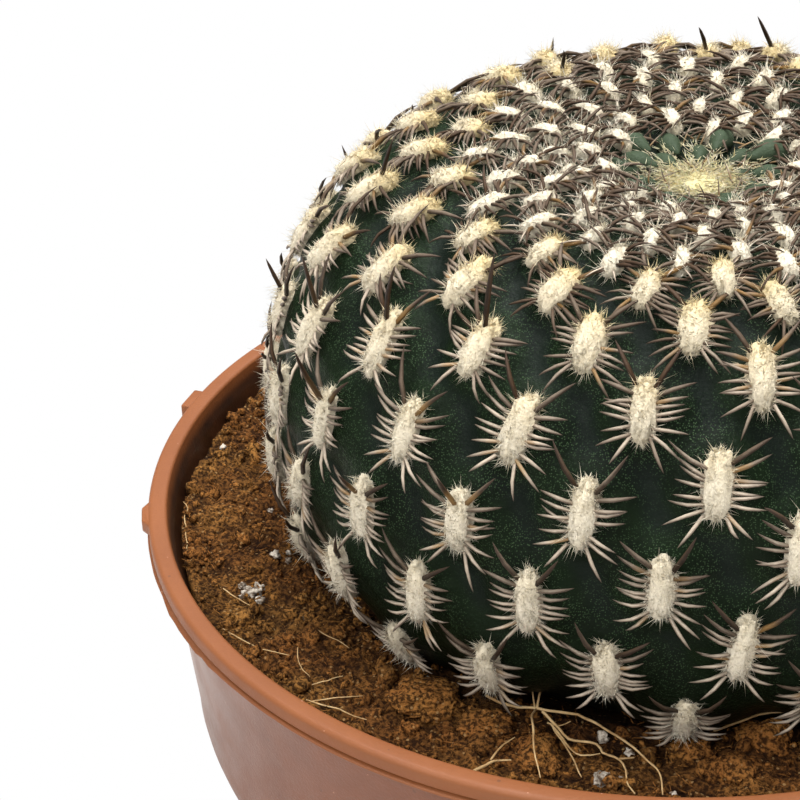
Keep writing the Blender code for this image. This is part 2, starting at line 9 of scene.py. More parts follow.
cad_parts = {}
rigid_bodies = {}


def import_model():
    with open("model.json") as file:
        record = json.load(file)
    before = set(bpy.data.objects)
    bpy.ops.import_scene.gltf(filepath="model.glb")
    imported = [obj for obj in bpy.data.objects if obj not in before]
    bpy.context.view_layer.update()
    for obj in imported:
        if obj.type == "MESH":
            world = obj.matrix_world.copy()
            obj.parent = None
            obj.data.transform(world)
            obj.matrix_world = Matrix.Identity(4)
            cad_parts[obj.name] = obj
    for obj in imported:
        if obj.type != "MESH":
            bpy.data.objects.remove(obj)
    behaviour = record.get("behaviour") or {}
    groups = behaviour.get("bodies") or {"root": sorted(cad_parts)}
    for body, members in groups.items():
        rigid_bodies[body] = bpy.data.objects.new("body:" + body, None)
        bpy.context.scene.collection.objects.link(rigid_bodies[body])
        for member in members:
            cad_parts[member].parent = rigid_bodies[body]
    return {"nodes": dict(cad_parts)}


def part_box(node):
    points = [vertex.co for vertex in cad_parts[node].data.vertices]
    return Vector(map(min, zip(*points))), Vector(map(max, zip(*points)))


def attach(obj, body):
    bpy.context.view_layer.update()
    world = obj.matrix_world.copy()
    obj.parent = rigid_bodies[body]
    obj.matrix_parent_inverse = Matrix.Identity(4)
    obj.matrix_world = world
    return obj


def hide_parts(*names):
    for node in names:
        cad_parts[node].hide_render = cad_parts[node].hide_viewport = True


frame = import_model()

MM = 0.001
GOLDEN = (1 + math.sqrt(5)) / 2
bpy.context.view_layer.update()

# The pot and its soil, as the frame has them.
POT_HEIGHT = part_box("pot")[1].z
RIM_RADIUS = 65.0 * MM
RIM_BORE = 62.5 * MM
RIM_DEPTH = 3.0 * MM
WALL_TOP_RADIUS = 62.85 * MM
WALL_DRAFT = 0.10
WALL_THICKNESS = 1.6 * MM
CORNER_HEIGHT = 21.5 * MM
CORNER_RADIUS = 31.05 * MM
CORNER_WIDTH = 29.5 * MM
CORNER_DROP = 22.0 * MM
DRAIN_COUNT = 6
DRAIN_RADIUS = 3.0 * MM
DRAIN_CIRCLE = 22.0 * MM
SOIL_TOP = POT_HEIGHT - 5.3 * MM

# The plant's smooth form: a squared-off ball of revolution with a sunken crown.
BODY_X = 4.5 * MM
BODY_RADIUS = 51.2 * MM
BELT_HEIGHT = POT_HEIGHT + 12.6 * MM
DOME_RISE = 37.4 * MM
BELLY_DROP = 29.0 * MM
SQUARENESS = 2.6
CROWN_DIP = 5.8 * MM
CROWN_DIP_RADIUS = 15.0 * MM
CROWN_SHIFT = -7.7 * MM
SHIFT_REACH = 35.9 * MM
ROOT_RADIUS = 13.0 * MM
ROOT_DEPTH = 10.0 * MM
SEAT_GAP = 0.45 * MM

# The growth spiral of the areoles.
DIVERGENCE = math.tau / (3 + 1 / (2 + 1 / GOLDEN))
FIRST_AZIMUTH = math.radians(-117.7)
FIRST_ARC = 64.1 * MM
CROWN_STEP = 0.205 * MM
BODY_STEP = 0.422 * MM
YOUNG_ARC = 28.1 * MM
GROWTH_ARC = 2.9 * MM
LOWEST_ARC = 89.7 * MM
HIGHEST_ARC = 10.3 * MM

# The wool pads and the relief of the skin round them.
PAD_HALF_LENGTH = 4.1 * MM
PAD_HALF_WIDTH = 2.1 * MM
PAD_RISE = 2.6 * MM
TUBERCLE_TOP = 0.8 * MM
TUBERCLE_FALL = 2.0 * MM
SHARPNESS = 14.0
FURROW_EDGE = 0.36
NEIGHBOURS = 6
FULL_SPACING = 11.85 * MM
UPPER_FULLNESS = 0.25
AREOLE_LEAN = math.radians(5.0)
LOWER_FLANK_ARC = 58.0 * MM


# Small tools

UPRIGHT = (0.0, 0.0, 1.0)
TINY = 1e-9


def unit(rows):
    return rows / np.maximum(np.linalg.norm(rows, axis=-1, keepdims=True), 1e-12)


def smoothstep(low, high, value):
    share = np.clip((value - low) / (high - low), 0.0, 1.0)
    return share * share * (3.0 - 2.0 * share)


def noise_at(x, y, z, scale):
    return noise.noise(Vector((x, y, z)) * scale)


def add_object(name, data):
    thing = bpy.data.objects.new(name, data)
    bpy.context.scene.collection.objects.link(thing)
    return thing


def write_value(mesh, name, values):
    """A number at each point of the mesh. Fewer numbers go to equal shares of the points."""
    values = np.ravel(values)
    values = np.repeat(values, len(mesh.vertices) // len(values))
    attribute = mesh.attributes.new(name, "FLOAT", "POINT")
    attribute.data.foreach_set("value", values.astype(np.float32))


def finished(name, mesh, material, slot, **values):
    """A shown piece that rides on the one body of the part, with the values that its material reads."""
    mesh.materials.append(material)
    for title, numbers in values.items():
        write_value(mesh, title, numbers)
    piece = add_object(name, mesh)
    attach(piece, "root")
    return piece


def new_form(operator, **settings):
    """A form that holds one basic shape."""
    form = bmesh.new()
    operator(form, **settings)
    return form


def mesh_from(form, name):
    mesh = bpy.data.meshes.new(name)
    form.to_mesh(mesh)
    form.free()
    mesh.shade_smooth()
    return mesh


def worked_out(thing):
    """The mesh of a helper object, with its modifiers worked out. The object is deleted."""
    bpy.context.view_layer.update()
    graph = bpy.context.evaluated_depsgraph_get()
    mesh = bpy.data.meshes.new_from_object(thing.evaluated_get(graph))
    bpy.data.objects.remove(thing)
    mesh.shade_smooth()
    return mesh


class UnitForm:
    """The points and triangles of a small form that is copied many times."""

    def __init__(self, form):
        bmesh.ops.triangulate(form, faces=form.faces)
        form.verts.ensure_lookup_table()
        form.verts.index_update()
        self.points = np.array([vert.co for vert in form.verts])
        self.faces = np.array([[vert.index for vert in face.verts] for face in form.faces])
        form.free()


def unit_ball(subdivisions):
    return UnitForm(new_form(bmesh.ops.create_icosphere, subdivisions=subdivisions, radius=1.0))


def finished_copies(name, form, placed, material, slot, **values):
    """One shown piece of many copies of a unit form. placed holds the points of each copy."""
    count, points = placed.shape[:2]
    corners = (form.faces[None] + (np.arange(count) * points)[:, None, None]).ravel()
    mesh = bpy.data.meshes.new(name)
    mesh.vertices.add(count * points)
    mesh.vertices.foreach_set("co", placed.astype(np.float32).ravel())
    mesh.loops.add(len(corners))
    mesh.loops.foreach_set("vertex_index", corners.astype(np.int32))
    mesh.polygons.add(len(corners) // 3)
    mesh.polygons.foreach_set("loop_start", np.arange(0, len(corners), 3, dtype=np.int32))
    mesh.update(calc_edges=True)
    mesh.shade_smooth()
    finished(name, mesh, material, slot, **values)


def unit_needle(sides, levels, blunt):
    """A needle of radius 1 at z = 0 with its point at z = 1. A high blunt keeps it thick for longer."""
    form = new_form(
        bmesh.ops.create_cone, cap_ends=True, segments=sides, radius1=1.0, radius2=0.001, depth=1.0
    )
    bmesh.ops.translate(form, verts=form.verts, vec=(0.0, 0.0, 0.5))
    for level in levels:
        everything = form.verts[:] + form.edges[:] + form.faces[:]
        bmesh.ops.bisect_plane(form, geom=everything, plane_co=(0.0, 0.0, level), plane_no=UPRIGHT)
    bmesh.ops.remove_doubles(form, verts=form.verts, dist=0.002)
    for vert in form.verts:
        if 0.0 < vert.co.z < 0.999:
            wanted = (1.0 - vert.co.z**blunt) / (1.0 - vert.co.z)
            vert.co.x *= wanted
            vert.co.y *= wanted
    return UnitForm(form)


FINE_HAIR = unit_needle(3, (), 1.0)


def place_needles(form, root, way, length, radius, bend):
    """The points of needles that run from root along way, bent aside by bend times their length."""
    way = unit(way)
    helper = np.where(np.abs(way[:, 2:3]) < 0.9, [[0.0, 0.0, 1.0]], [[1.0, 0.0, 0.0]])
    across = unit(np.cross(way, helper))
    beside = np.cross(way, across)
    x, y, z = form.points.T
    points = np.repeat(root[:, None], len(z), axis=1)
    parts = ((way, z, length), (bend, z**2, length), (across, x, radius), (beside, y, radius))
    for axis, share, size in parts:
        points += axis[:, None] * (share[None, :] * size[:, None])[..., None]
    return points


# The plant's form

SECTION_POINTS = 1601
POLE_GUARD = 0.2 * MM


class Body:
    """Places on the smooth body, by azimuth and by arc length from the middle of the crown."""

    def __init__(self):
        turn = np.linspace(math.pi / 2, -math.pi / 2, SECTION_POINTS)
        self.radius = BODY_RADIUS * np.maximum(np.cos(turn), 0.0) ** (2.0 / SQUARENESS)
        reach = np.abs(np.sin(turn)) ** (2.0 / SQUARENESS)
        self.height = BELT_HEIGHT + np.where(turn > 0.0, DOME_RISE, -BELLY_DROP) * reach
        steps = np.hypot(np.diff(self.radius), np.diff(self.height))
        self.arc = np.concatenate(([0.0], np.cumsum(steps)))

    def surface(self, azimuth, arc):
        """Growth rings lie round a crown that is shifted sideways, less and less down the flanks."""
        x = arc * np.cos(azimuth)
        y = arc * np.sin(azimuth) + CROWN_SHIFT * np.exp(-((arc / SHIFT_REACH) ** 4))
        moved = np.hypot(x, y)
        radius = np.interp(moved, self.arc, self.radius)
        x = radius * x / np.maximum(moved, TINY)
        y = radius * y / np.maximum(moved, TINY)
        dip = CROWN_DIP * np.exp(-(x**2 + (y - CROWN_SHIFT) ** 2) / CROWN_DIP_RADIUS**2)
        height = np.interp(moved, self.arc, self.height)
        return np.stack([x + BODY_X, y, height - dip * (height > BELT_HEIGHT)], -1)

    def place(self, azimuth, arc, lift=0.0):
        """(place, side, up, out) by azimuth and arc. Side runs round the body, and up to the crown."""
        azimuth, arc = np.broadcast_arrays(np.asarray(azimuth, float), np.asarray(arc, float))
        safe = np.clip(arc, POLE_GUARD, self.arc[-1] - POLE_GUARD)
        step = 0.05 * MM
        spot = self.surface(azimuth, arc)
        across = self.surface(azimuth + step / safe, safe) - self.surface(azimuth - step / safe, safe)
        up = unit(self.surface(azimuth, safe - step) - self.surface(azimuth, safe + step))
        out = unit(np.cross(across, up))
        side = np.cross(up, out)
        return spot + out * np.asarray(lift)[..., None], side, up, out


BODY = Body()


def growth_step(arc):
    grown = 1.0 - np.exp(-np.maximum(arc - YOUNG_ARC, 0.0) / GROWTH_ARC)
    return CROWN_STEP + (BODY_STEP - CROWN_STEP) * grown


def growth_spiral():
    """(number, azimuth, arc) of each areole, from the first one out both ways."""
    places = []
    for way in (1, -1):
        number, azimuth, arc = 0, FIRST_AZIMUTH, FIRST_ARC
        while HIGHEST_ARC < arc < LOWEST_ARC:
            if way == 1 or number:
                places.append((number, azimuth, arc))
            number += way
            azimuth += way * DIVERGENCE
            arc += way * float(growth_step(arc))
    return np.array(places).T


class Areoles:
    """Every areole of the plant, as arrays: number, arc, size, and the pad's own directions and sizes."""

    def __init__(self):
        self.number, azimuth, self.arc = growth_spiral()
        self.count = len(self.arc)
        ground, side, up, self.out = BODY.place(azimuth, self.arc)
        self.tree = kdtree.KDTree(self.count)
        for index, spot in enumerate(ground):
            self.tree.insert(spot, index)
        self.tree.balance()
        self.spacing = self.nearest(ground, NEIGHBOURS + 1)[1][:, 1:].mean(axis=1)
        self.size = np.minimum(self.spacing / FULL_SPACING, 1.0)
        self.old = self.arc > YOUNG_ARC - 1.0 * MM
        draw = np.random.default_rng(3)
        upper = 1.0 + UPPER_FULLNESS * smoothstep(56.0 * MM, 40.0 * MM, self.arc)
        fuller = 1.0 + 0.6 * (upper - 1.0) * smoothstep(22.0 * MM, 32.0 * MM, self.arc)
        long = 0.2 + 0.8 * self.size
        self.half_length = PAD_HALF_LENGTH * long * draw.uniform(0.92, 1.08, self.count)
        wide = 0.62 + 0.38 * self.size
        self.half_width = PAD_HALF_WIDTH * fuller * wide * draw.uniform(0.9, 1.1, self.count)
        high = 0.5 + 0.5 * self.size
        self.rise = PAD_RISE * upper * high * draw.uniform(0.9, 1.1, self.count)
        lean = draw.normal(0.0, AREOLE_LEAN, self.count)[:, None]
        self.spot = ground + self.out * (TUBERCLE_TOP * self.size)[:, None]
        self.side = side * np.cos(lean) + up * np.sin(lean)
        self.up = up * np.cos(lean) - side * np.sin(lean)

    def nearest(self, spots, count):
        """(index, distance) of the nearest areoles to each spot, nearest first."""
        found = [self.tree.find_n(spot, count) for spot in spots]
        index = np.array([[one[1] for one in row] for row in found])
        return index, np.array([[one[2] for one in row] for row in found])

    def on(self, which, x, y, z):
        """Points on areoles: x sideways in half widths, y up in half lengths, z outwards in rises."""
        across = self.side[which] * (x * self.half_width[which])[..., None]
        along = self.up[which] * (y * self.half_length[which])[..., None]
        away = self.out[which] * (z * self.rise[which])[..., None]
        return self.spot[which] + across + along + away

    def way(self, which, x, y, z):
        """The way made of x along side, y along up and z outwards."""
        return self.side[which] * x + self.up[which] * y + self.out[which] * z


AREOLES = Areoles()


def relief(spots, arc):
    """(lift, tubercle share) of the skin: tubercles round the areoles and smooth furrows between them."""
    index, distance = AREOLES.nearest(spots, NEIGHBOURS)
    share = (distance / AREOLES.spacing[index]) ** 2
    away = -np.log(np.maximum(np.exp(-SHARPNESS * share).sum(axis=1), TINY)) / SHARPNESS
    fall = smoothstep(0.0, FURROW_EDGE, away)
    size = AREOLES.size[index[:, 0]]
    free = smoothstep(5.0 * MM, 11.0 * MM, arc)
    return (TUBERCLE_TOP - TUBERCLE_FALL * fall) * size * free, 1.0 - fall * free


def root_neck(x, y, z):
    """How far the underside is drawn down into the root."""
    below = smoothstep(BELT_HEIGHT - BELLY_DROP * 0.8, BELT_HEIGHT - BELLY_DROP, z)
    return ROOT_DEPTH * below * smoothstep(ROOT_RADIUS, 0.55 * ROOT_RADIUS, np.hypot(x - BODY_X, y))


BODY_TURNS = 280
BODY_RINGS = 160


def make_body(material):
    """A ball whose rings are laid along the body's arc and lifted by the relief, with a neck below."""
    form = new_form(bmesh.ops.create_uvsphere, u_segments=BODY_TURNS, v_segments=BODY_RINGS, radius=1.0)
    x, y, z = np.array([vert.co for vert in form.verts]).T
    arc = np.arccos(np.clip(z, -1.0, 1.0)) / math.pi * BODY.arc[-1]
    spots, _, _, out = BODY.place(np.arctan2(y, x), arc)
    lift, share = relief(spots, arc)
    points = spots + out * lift[:, None]
    points[:, 2] -= root_neck(*points.T)
    for vert, point in zip(form.verts, points):
        vert.co = point
    mesh = mesh_from(form, "cactus_body")
    body = finished("cactus_body", mesh, material, "cactus_skin", tubercle=share)
    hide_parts("cactus")


# Wool

PAD_FOOT = 0.05
CORE_FILL = (0.73, 0.94, 0.58)
HAIR_FILL = (0.75, 0.95, 0.60)
CORE_ROUGHNESS = 0.08
HAIR_RADIUS = 0.052 * MM
HAIR_SUNK = 0.15 * MM
HAIR_SPREAD = 0.65
HAIR_CURL = 0.8
FEWEST_HAIRS = 20
OLD_HAIRS = 640
YOUNG_HAIRS = 300


def wool_tone(which, y):
    """0 for white wool and 1 for ochre: warmer to a pad's upper end and higher on the plant."""
    top = smoothstep(66.0 * MM, 32.0 * MM, AREOLES.arc[which]) * AREOLES.old[which]
    return np.clip(0.04 + 0.26 * top + (0.20 + 0.45 * top) * smoothstep(-0.4, 0.9, y), 0.0, 1.0)


def on_pad(which, x, y, z, fill, rough=1.0):
    """Places on a blunt-ended lump that fills so much of the areole's width, length and rise."""
    wide, long, high = fill
    full = np.abs(y) ** 0.8 * np.sign(y)
    return AREOLES.on(which, wide * x * rough, long * full * rough, PAD_FOOT + high * z * rough)


def make_pads(name, chosen, subdivisions, material):
    """The matted core of each pad: a soft lump that arches along the areole."""
    lump = unit_ball(subdivisions)
    draw = np.random.default_rng(5)
    which = np.repeat(chosen, len(lump.points)).reshape(len(chosen), -1)
    x, y, z = (np.broadcast_to(values, which.shape) for values in lump.points.T)
    rough = 1.0 + CORE_ROUGHNESS * draw.standard_normal(which.shape)
    points = on_pad(which, x, y, z, CORE_FILL, rough)
    tone = wool_tone(which, y)
    # Painted shade: the cores are darkened as the shadowed depth between hairs.
    finished_copies(name, lump, points, material, "areole_wool", tone=tone, shade=0.9)


def make_wool_hair(name, chosen, hairs, reach, seed, material):
    """The fleece of the pads: short fine hairs that stand out of the core every way."""
    draw = np.random.default_rng(seed)
    counts = np.maximum((hairs * (0.3 + 0.7 * AREOLES.size[chosen])).astype(int), FEWEST_HAIRS)
    which = np.repeat(chosen, counts)
    total = len(which)
    turn = draw.uniform(0.0, math.tau, total)
    z = draw.uniform(-0.5, 1.0, total)
    x = np.sqrt(1.0 - z**2) * np.cos(turn)
    y = np.sqrt(1.0 - z**2) * np.sin(turn)
    normal = unit(AREOLES.way(which, (x / 1.5)[:, None], (y / 3.6)[:, None], (z / 1.9)[:, None]))
    way = unit(normal + HAIR_SPREAD * draw.standard_normal((total, 3)))
    length = draw.uniform(0.4, 0.85, total) * MM * reach
    bend = HAIR_CURL * draw.standard_normal((total, 3))
    root = on_pad(which, x, y, z, HAIR_FILL) - way * HAIR_SUNK
    points = place_needles(FINE_HAIR, root, way, length, np.full(total, HAIR_RADIUS), bend)
    tone = np.clip(wool_tone(which, y) + draw.normal(0.0, 0.08, total), 0.0, 1.0)
    # Painted shade: a random darkening of each hair, partly its own tone and partly the shadows among
    # hairs.
    shade = 0.8 * draw.uniform(0.0, 1.0, total) ** 2
    finished_copies(name, FINE_HAIR, points, material, "areole_wool", tone=tone, shade=shade)


# Spines

# Comb spines of an old areole, lower to upper: (place on the pad, angle above the side way, length in mm).
COMB = (
    (-0.94, -56.0, 4.4),
    (-0.80, -30.0, 4.4),
    (-0.58, -8.0, 4.0),
    (-0.38, 0.0, 3.8),
    (-0.18, 5.0, 3.8),
    (0.02, 8.0, 3.8),
    (0.23, 11.0, 4.0),
    (0.47, 20.0, 4.7),
    (0.72, 54.0, 5.6),
)
COMB_RADIUS = 0.225 * MM
TOP_SPINE_RADIUS = 0.30 * MM
CENTRAL_SPINE_RADIUS = 0.34 * MM
SMALL_SPINE_RADIUS = 0.12 * MM
COMB_MISSING = 0.05
YOUNG_MISSING = 0.1
BROWNEST_ARC = 32.0 * MM
HANDS = (1.0, -1.0)


def finished_spines(name, form, spines, material):
    """One piece of many spines, each with its root, way, length, radius, bend, age and amber."""
    root, way, length, radius, bend, age, amber = (np.array(column) for column in zip(*spines))
    points = place_needles(form, root, way, length, radius, bend)
    values = {"age": age, "amber": amber}
    values["along"] = np.tile(form.points[:, 2], len(spines))
    # Painted highlight and shade: the upper side of each needle is marked to be painted lighter, the rest
    # darker.
    values["painted_lit_top"] = np.tile(form.points[:, 1] < -0.2, len(spines))
    finished_copies(name, form, points, material, "spine", **values)


def comb_spines(spines, number, draw):
    """The comb of an old areole: pale and short below, darker and longer above, one row on each side."""
    size = AREOLES.size[number]
    high = float(smoothstep(LOWER_FLANK_ARC, BROWNEST_ARC, AREOLES.arc[number]))
    brown = 0.10 + 0.75 * high
    for place, angle, length in COMB:
        for hand in HANDS:
            if draw.random() < COMB_MISSING:
                continue
            along = place + draw.normal(0.0, 0.03)
            root = AREOLES.on(number, hand * 0.5, along * 0.88, 0.25)
            tilt = math.radians(angle + draw.normal(0.0, 6.5))
            lift = draw.uniform(0.28, 0.48) * (1.0 - 0.6 * high)
            way = AREOLES.way(number, hand * math.cos(tilt), math.sin(tilt), lift)
            upper = max(place, 0.0) / COMB[-1][0]
            rise = draw.normal(0.08, 0.10)
            bend = AREOLES.way(number, 0.0, rise, -(draw.uniform(0.24, 0.40) + 0.10 * high))
            reach = length * MM * (0.5 + 0.5 * size) * draw.uniform(0.9, 1.1)
            radius = (COMB_RADIUS + (TOP_SPINE_RADIUS - COMB_RADIUS) * upper) * (0.7 + 0.3 * size)
            age = np.clip(brown + (0.95 - brown) * upper**1.3 + draw.normal(0.0, 0.12), 0.0, 1.0)
            amber = draw.uniform(0.4, 1.0) * float(draw.random() < 0.15 + 0.08 * upper)
            spines.append((root, way, reach, radius, bend, age, amber))


# Areoles at the front that keep a central spine: number on the growth spiral, then length in mm, lean,
# curve and share of amber.
CENTRALS = {
    -44: (8.4, 0.0, 0.02, 0.0),
    -34: (7.4, 0.2, 0.22, 0.0),
    -24: (6.8, 0.0, -0.05, 0.1),
    -14: (4.6, 0.1, 0.0, 0.0),
    -7: (8.8, 0.0, 0.30, 0.3),
    0: (5.2, -0.05, 0.0, 1.0),
    10: (3.8, 0.0, 0.0, 0.6),
    -58: (5.6, 0.2, 0.0, 0.0),
    -86: (5.0, 0.0, 0.1, 0.2),
    -76: (6.0, 0.2, 0.0, 0.1),
    -89: (4.4, 0.0, 0.1, 0.0),
}
CENTRAL_SHARE = 0.14
FRONT_EDGE = 12.0 * MM


def central_spine(spines, number, draw):
    """The stout dark spine at the upper end of a few areoles, which stands away from the body."""
    own = int(AREOLES.number[number])
    length, lean, curve = draw.uniform(4.0, 7.5), draw.normal(0.0, 0.15), draw.normal(0.0, 0.12)
    amber = 0.2
    if own in CENTRALS:
        length, lean, curve, amber = CENTRALS[own]
    elif AREOLES.spot[number][1] < FRONT_EDGE or draw.random() > CENTRAL_SHARE:
        return
    root = AREOLES.on(number, 0.0, 0.62, 0.5)
    way = AREOLES.way(number, lean, 0.85, 0.75)
    bend = AREOLES.way(number, curve, 0.06, 0.0)
    radius = CENTRAL_SPINE_RADIUS * min(1.0, 0.6 + 0.05 * length)
    spines.append((root, way, length * MM, radius, bend, 1.0, amber))


# Side spines of a young areole, lower to upper: (place on the pad, angle above the side way).
YOUNG_FAN = ((-0.6, -22.0), (-0.25, -4.0), (0.1, 10.0), (0.4, 24.0), (0.7, 48.0))


def young_spines(spines, number, draw):
    """The spines of a young areole: brown, curved and mostly sideways, so that they cross others."""
    size = AREOLES.size[number]
    for hand in HANDS:
        for place, angle in YOUNG_FAN:
            if draw.random() < YOUNG_MISSING:
                continue
            root = AREOLES.on(number, hand * 0.4, place * 0.7, 0.35)
            tilt = math.radians(angle + draw.normal(0.0, 12.0))
            way = AREOLES.way(number, hand * math.cos(tilt), math.sin(tilt), draw.uniform(0.35, 0.8))
            rise = draw.normal(0.0, 0.15)
            bend = AREOLES.way(number, 0.0, rise, -draw.uniform(0.3, 0.65))
            length = draw.uniform(4.2, 6.6) * MM * (0.8 + 0.2 * size)
            age = np.clip(draw.normal(0.94, 0.1), 0.0, 1.0)
            amber = draw.uniform(0.3, 0.8) * float(draw.random() < 0.15)
            spines.append((root, way, length, draw.uniform(0.20, 0.28) * MM, bend, age, amber))
    for hand in HANDS:
        root = AREOLES.on(number, hand * 0.3, -0.7, 0.3)
        way = AREOLES.way(number, hand * draw.uniform(0.2, 0.9), -0.8, 0.3)
        bend = AREOLES.way(number, 0.0, 0.0, -0.2)
        length = draw.uniform(1.6, 3.4) * MM
        spines.append((root, way, length, SMALL_SPINE_RADIUS, bend, draw.uniform(0.0, 0.3), 0.0))


def make_spines(material):
    draw = np.random.default_rng(8)
    lower, upper = [], []
    for number in range(AREOLES.count):
        if AREOLES.old[number]:
            comb_spines(lower, number, draw)
            central_spine(lower, number, draw)
        else:
            young_spines(upper, number, draw)
    finished_spines("comb_spines", unit_needle(5, (0.45, 0.78, 0.93), 4.2), lower, material)
    finished_spines("crown_spines", unit_needle(5, (0.3, 0.55, 0.8), 2.8), upper, material)


# Crown

CROWN_TUBERCLES = 19
CROWN_FIRST_ARC = 5.6 * MM
CROWN_LAST_ARC = 10.4 * MM
CROWN_WOOL_RADIUS = 4.6 * MM
CROWN_WOOL_RISE = 1.3 * MM
CROWN_ARM_REACH = 8.2 * MM
CROWN_ARMS = 15
CROWN_STRANDS = 3000
STRAND_RADIUS = 0.08 * MM
NEW_SPINES = 70


def unit_tubercle():
    """A long lump that narrows to one end and bulges on top."""
    form = new_form(bmesh.ops.create_uvsphere, u_segments=16, v_segments=12, radius=1.0)
    for vert in form.verts:
        narrow = 1.0 - 0.5 * float(smoothstep(-0.2, 1.0, vert.co.y))
        vert.co.x *= narrow
        vert.co.z = vert.co.z * narrow + 0.12 * (1.0 - vert.co.x**2)
    return UnitForm(form)


def make_crown_tubercles(material):
    """Fresh tubercles that point at the crown's middle."""
    leaf = unit_tubercle()
    draw = np.random.default_rng(12)
    number = np.arange(CROWN_TUBERCLES)
    arc = CROWN_FIRST_ARC + (CROWN_LAST_ARC - CROWN_FIRST_ARC) * (number + 0.5) / CROWN_TUBERCLES
    spot, side, up, out = BODY.place(number * DIVERGENCE + 0.4, arc)
    size = (0.8 + 0.5 * number / CROWN_TUBERCLES) * draw.uniform(0.9, 1.1, CROWN_TUBERCLES) * MM
    x, y, z = leaf.points.T
    points = np.repeat(spot[:, None], len(x), axis=1)
    for axis, reach in ((side, x * 1.35), (unit(up + 0.25 * out), y * 2.3), (out, z * 1.2 + 0.4)):
        points += axis[:, None] * reach[None, :, None] * size[:, None, None]
    values = {"tubercle": 1.0, "fresh": 1.0}
    finished_copies("crown_tubercles", leaf, points, material, "cactus_skin", **values)


def make_crown_wool(material):
    """The tangle of new wool in the crown's middle: yellow, pale green and white strands."""
    count = CROWN_STRANDS
    draw = np.random.default_rng(14)
    arm = draw.random(count) < 0.45
    azimuth = draw.uniform(0.0, math.tau, count)
    spoke = (draw.integers(0, CROWN_ARMS, count) + 0.14 * draw.standard_normal(count)) / CROWN_ARMS
    azimuth = np.where(arm, spoke * math.tau, azimuth)
    arc = CROWN_WOOL_RADIUS * draw.uniform(0.0, 1.0, count) ** 0.6
    far = draw.uniform(0.4 * CROWN_ARM_REACH, CROWN_ARM_REACH, count)
    lift = draw.uniform(0.3, 1.4, count) * MM
    root, _, up, out = BODY.place(azimuth, np.where(arm, far, arc), lift)
    loose = np.where(arm, 0.35, 0.7)[:, None] * [1.0, 1.0, 0.15]
    way = draw.standard_normal((count, 3)) * loose + out * 0.05 - up * 0.9
    bend = draw.standard_normal((count, 3)) * [0.4, 0.4, 0.15]
    length = draw.uniform(0.5, 1.7, count) * MM
    points = place_needles(FINE_HAIR, root, way, length, np.full(count, STRAND_RADIUS), bend)
    values = {"tone": np.clip(draw.normal(0.72, 0.25, count) - 0.3 * arm, 0.0, 1.0)}
    # Painted shade: a little random darkening of the strands.
    values["shade"] = draw.uniform(0.0, 0.25, count)
    values["fresh"] = draw.uniform(0.0, 1.0, count) ** 1.3
    finished_copies("crown_wool", FINE_HAIR, points, material, "areole_wool", **values)


def make_crown_mound(material):
    """The soft mound under the tangle."""
    form = new_form(bmesh.ops.create_uvsphere, u_segments=48, v_segments=24, radius=1.0)
    centre = Vector(BODY.place(0.0, 0.0)[0])
    for vert in form.verts:
        ripple = 1.0 + 0.16 * noise.noise(vert.co * 4.0) + 0.10 * noise.noise(vert.co * 11.0)
        size = Vector((CROWN_WOOL_RADIUS, CROWN_WOOL_RADIUS, CROWN_WOOL_RISE)) * ripple
        vert.co = centre + Vector(a * b for a, b in zip(vert.co, size))
    mesh = mesh_from(form, "crown_mound")
    # Painted shade: the mound is darkened as it lies under the tangle.
    finished("crown_mound", mesh, material, "areole_wool", tone=0.9, shade=0.5, fresh=0.7)


def make_new_spines(material):
    """Short straw-coloured spines that stand in and round the crown's middle."""
    draw = np.random.default_rng(16)
    spines = []
    for _ in range(NEW_SPINES):
        arc = (1.5 + 8.5 * math.sqrt(draw.random())) * MM
        spot, side, up, out = BODY.place(draw.uniform(0.0, math.tau), arc, 0.4 * MM)
        way = out * draw.uniform(0.2, 0.8) + side * draw.normal(0.0, 0.8) + up * draw.normal(-0.2, 0.6)
        length = draw.uniform(2.0, 4.0) * MM
        age = draw.uniform(0.0, 0.5)
        spines.append((spot, way, length, SMALL_SPINE_RADIUS, up * 0.2, age, 1.0))
    finished_spines("new_spines", unit_needle(5, (0.35, 0.65, 0.88), 2.4), spines, material)


# Pot

RIM_UNDER = POT_HEIGHT - RIM_DEPTH
BORE_ROUND = 0.5 * MM
RIM_ROUND = 0.7 * MM
CREASE = POT_HEIGHT - 2.0 * MM
CREASE_DEPTH = 0.45 * MM
CREASE_ROUND = 0.15 * MM
LIP_ROUND = 0.18 * MM
POT_TURNS = 240
FLASH_MIDDLE = math.radians(-146.0)
FLASH_REACH = math.radians(9.0)
SHARP_EDGE = math.radians(48.0)


def wall_radius(height, inset):
    if height >= CORNER_HEIGHT:
        return WALL_TOP_RADIUS - WALL_DRAFT * (RIM_UNDER - height) - inset
    drop = min((CORNER_HEIGHT - height) / (CORNER_DROP - inset), 1.0)
    return CORNER_RADIUS + (CORNER_WIDTH - inset) * math.sqrt(1.0 - drop * drop)


def wall_outline(inset, top, floor, steps):
    """Points down the wall from its top to its floor, moved in by inset."""
    outline = [(wall_radius(top, inset), top)]
    lowest = math.asin(min((CORNER_HEIGHT - floor) / (CORNER_DROP - inset), 1.0))
    for step in range(steps + 1):
        height = CORNER_HEIGHT - (CORNER_DROP - inset) * math.sin(lowest * step / steps)
        outline.append((wall_radius(height, inset), height))
    return outline


def corner(x, z, radius, start, end, steps):
    """Points round a corner whose middle is at x, z, from one angle to another in degrees."""
    turns = [math.radians(start + (end - start) * step / steps) for step in range(steps + 1)]
    return [(x + radius * math.cos(turn), z + radius * math.sin(turn)) for turn in turns]


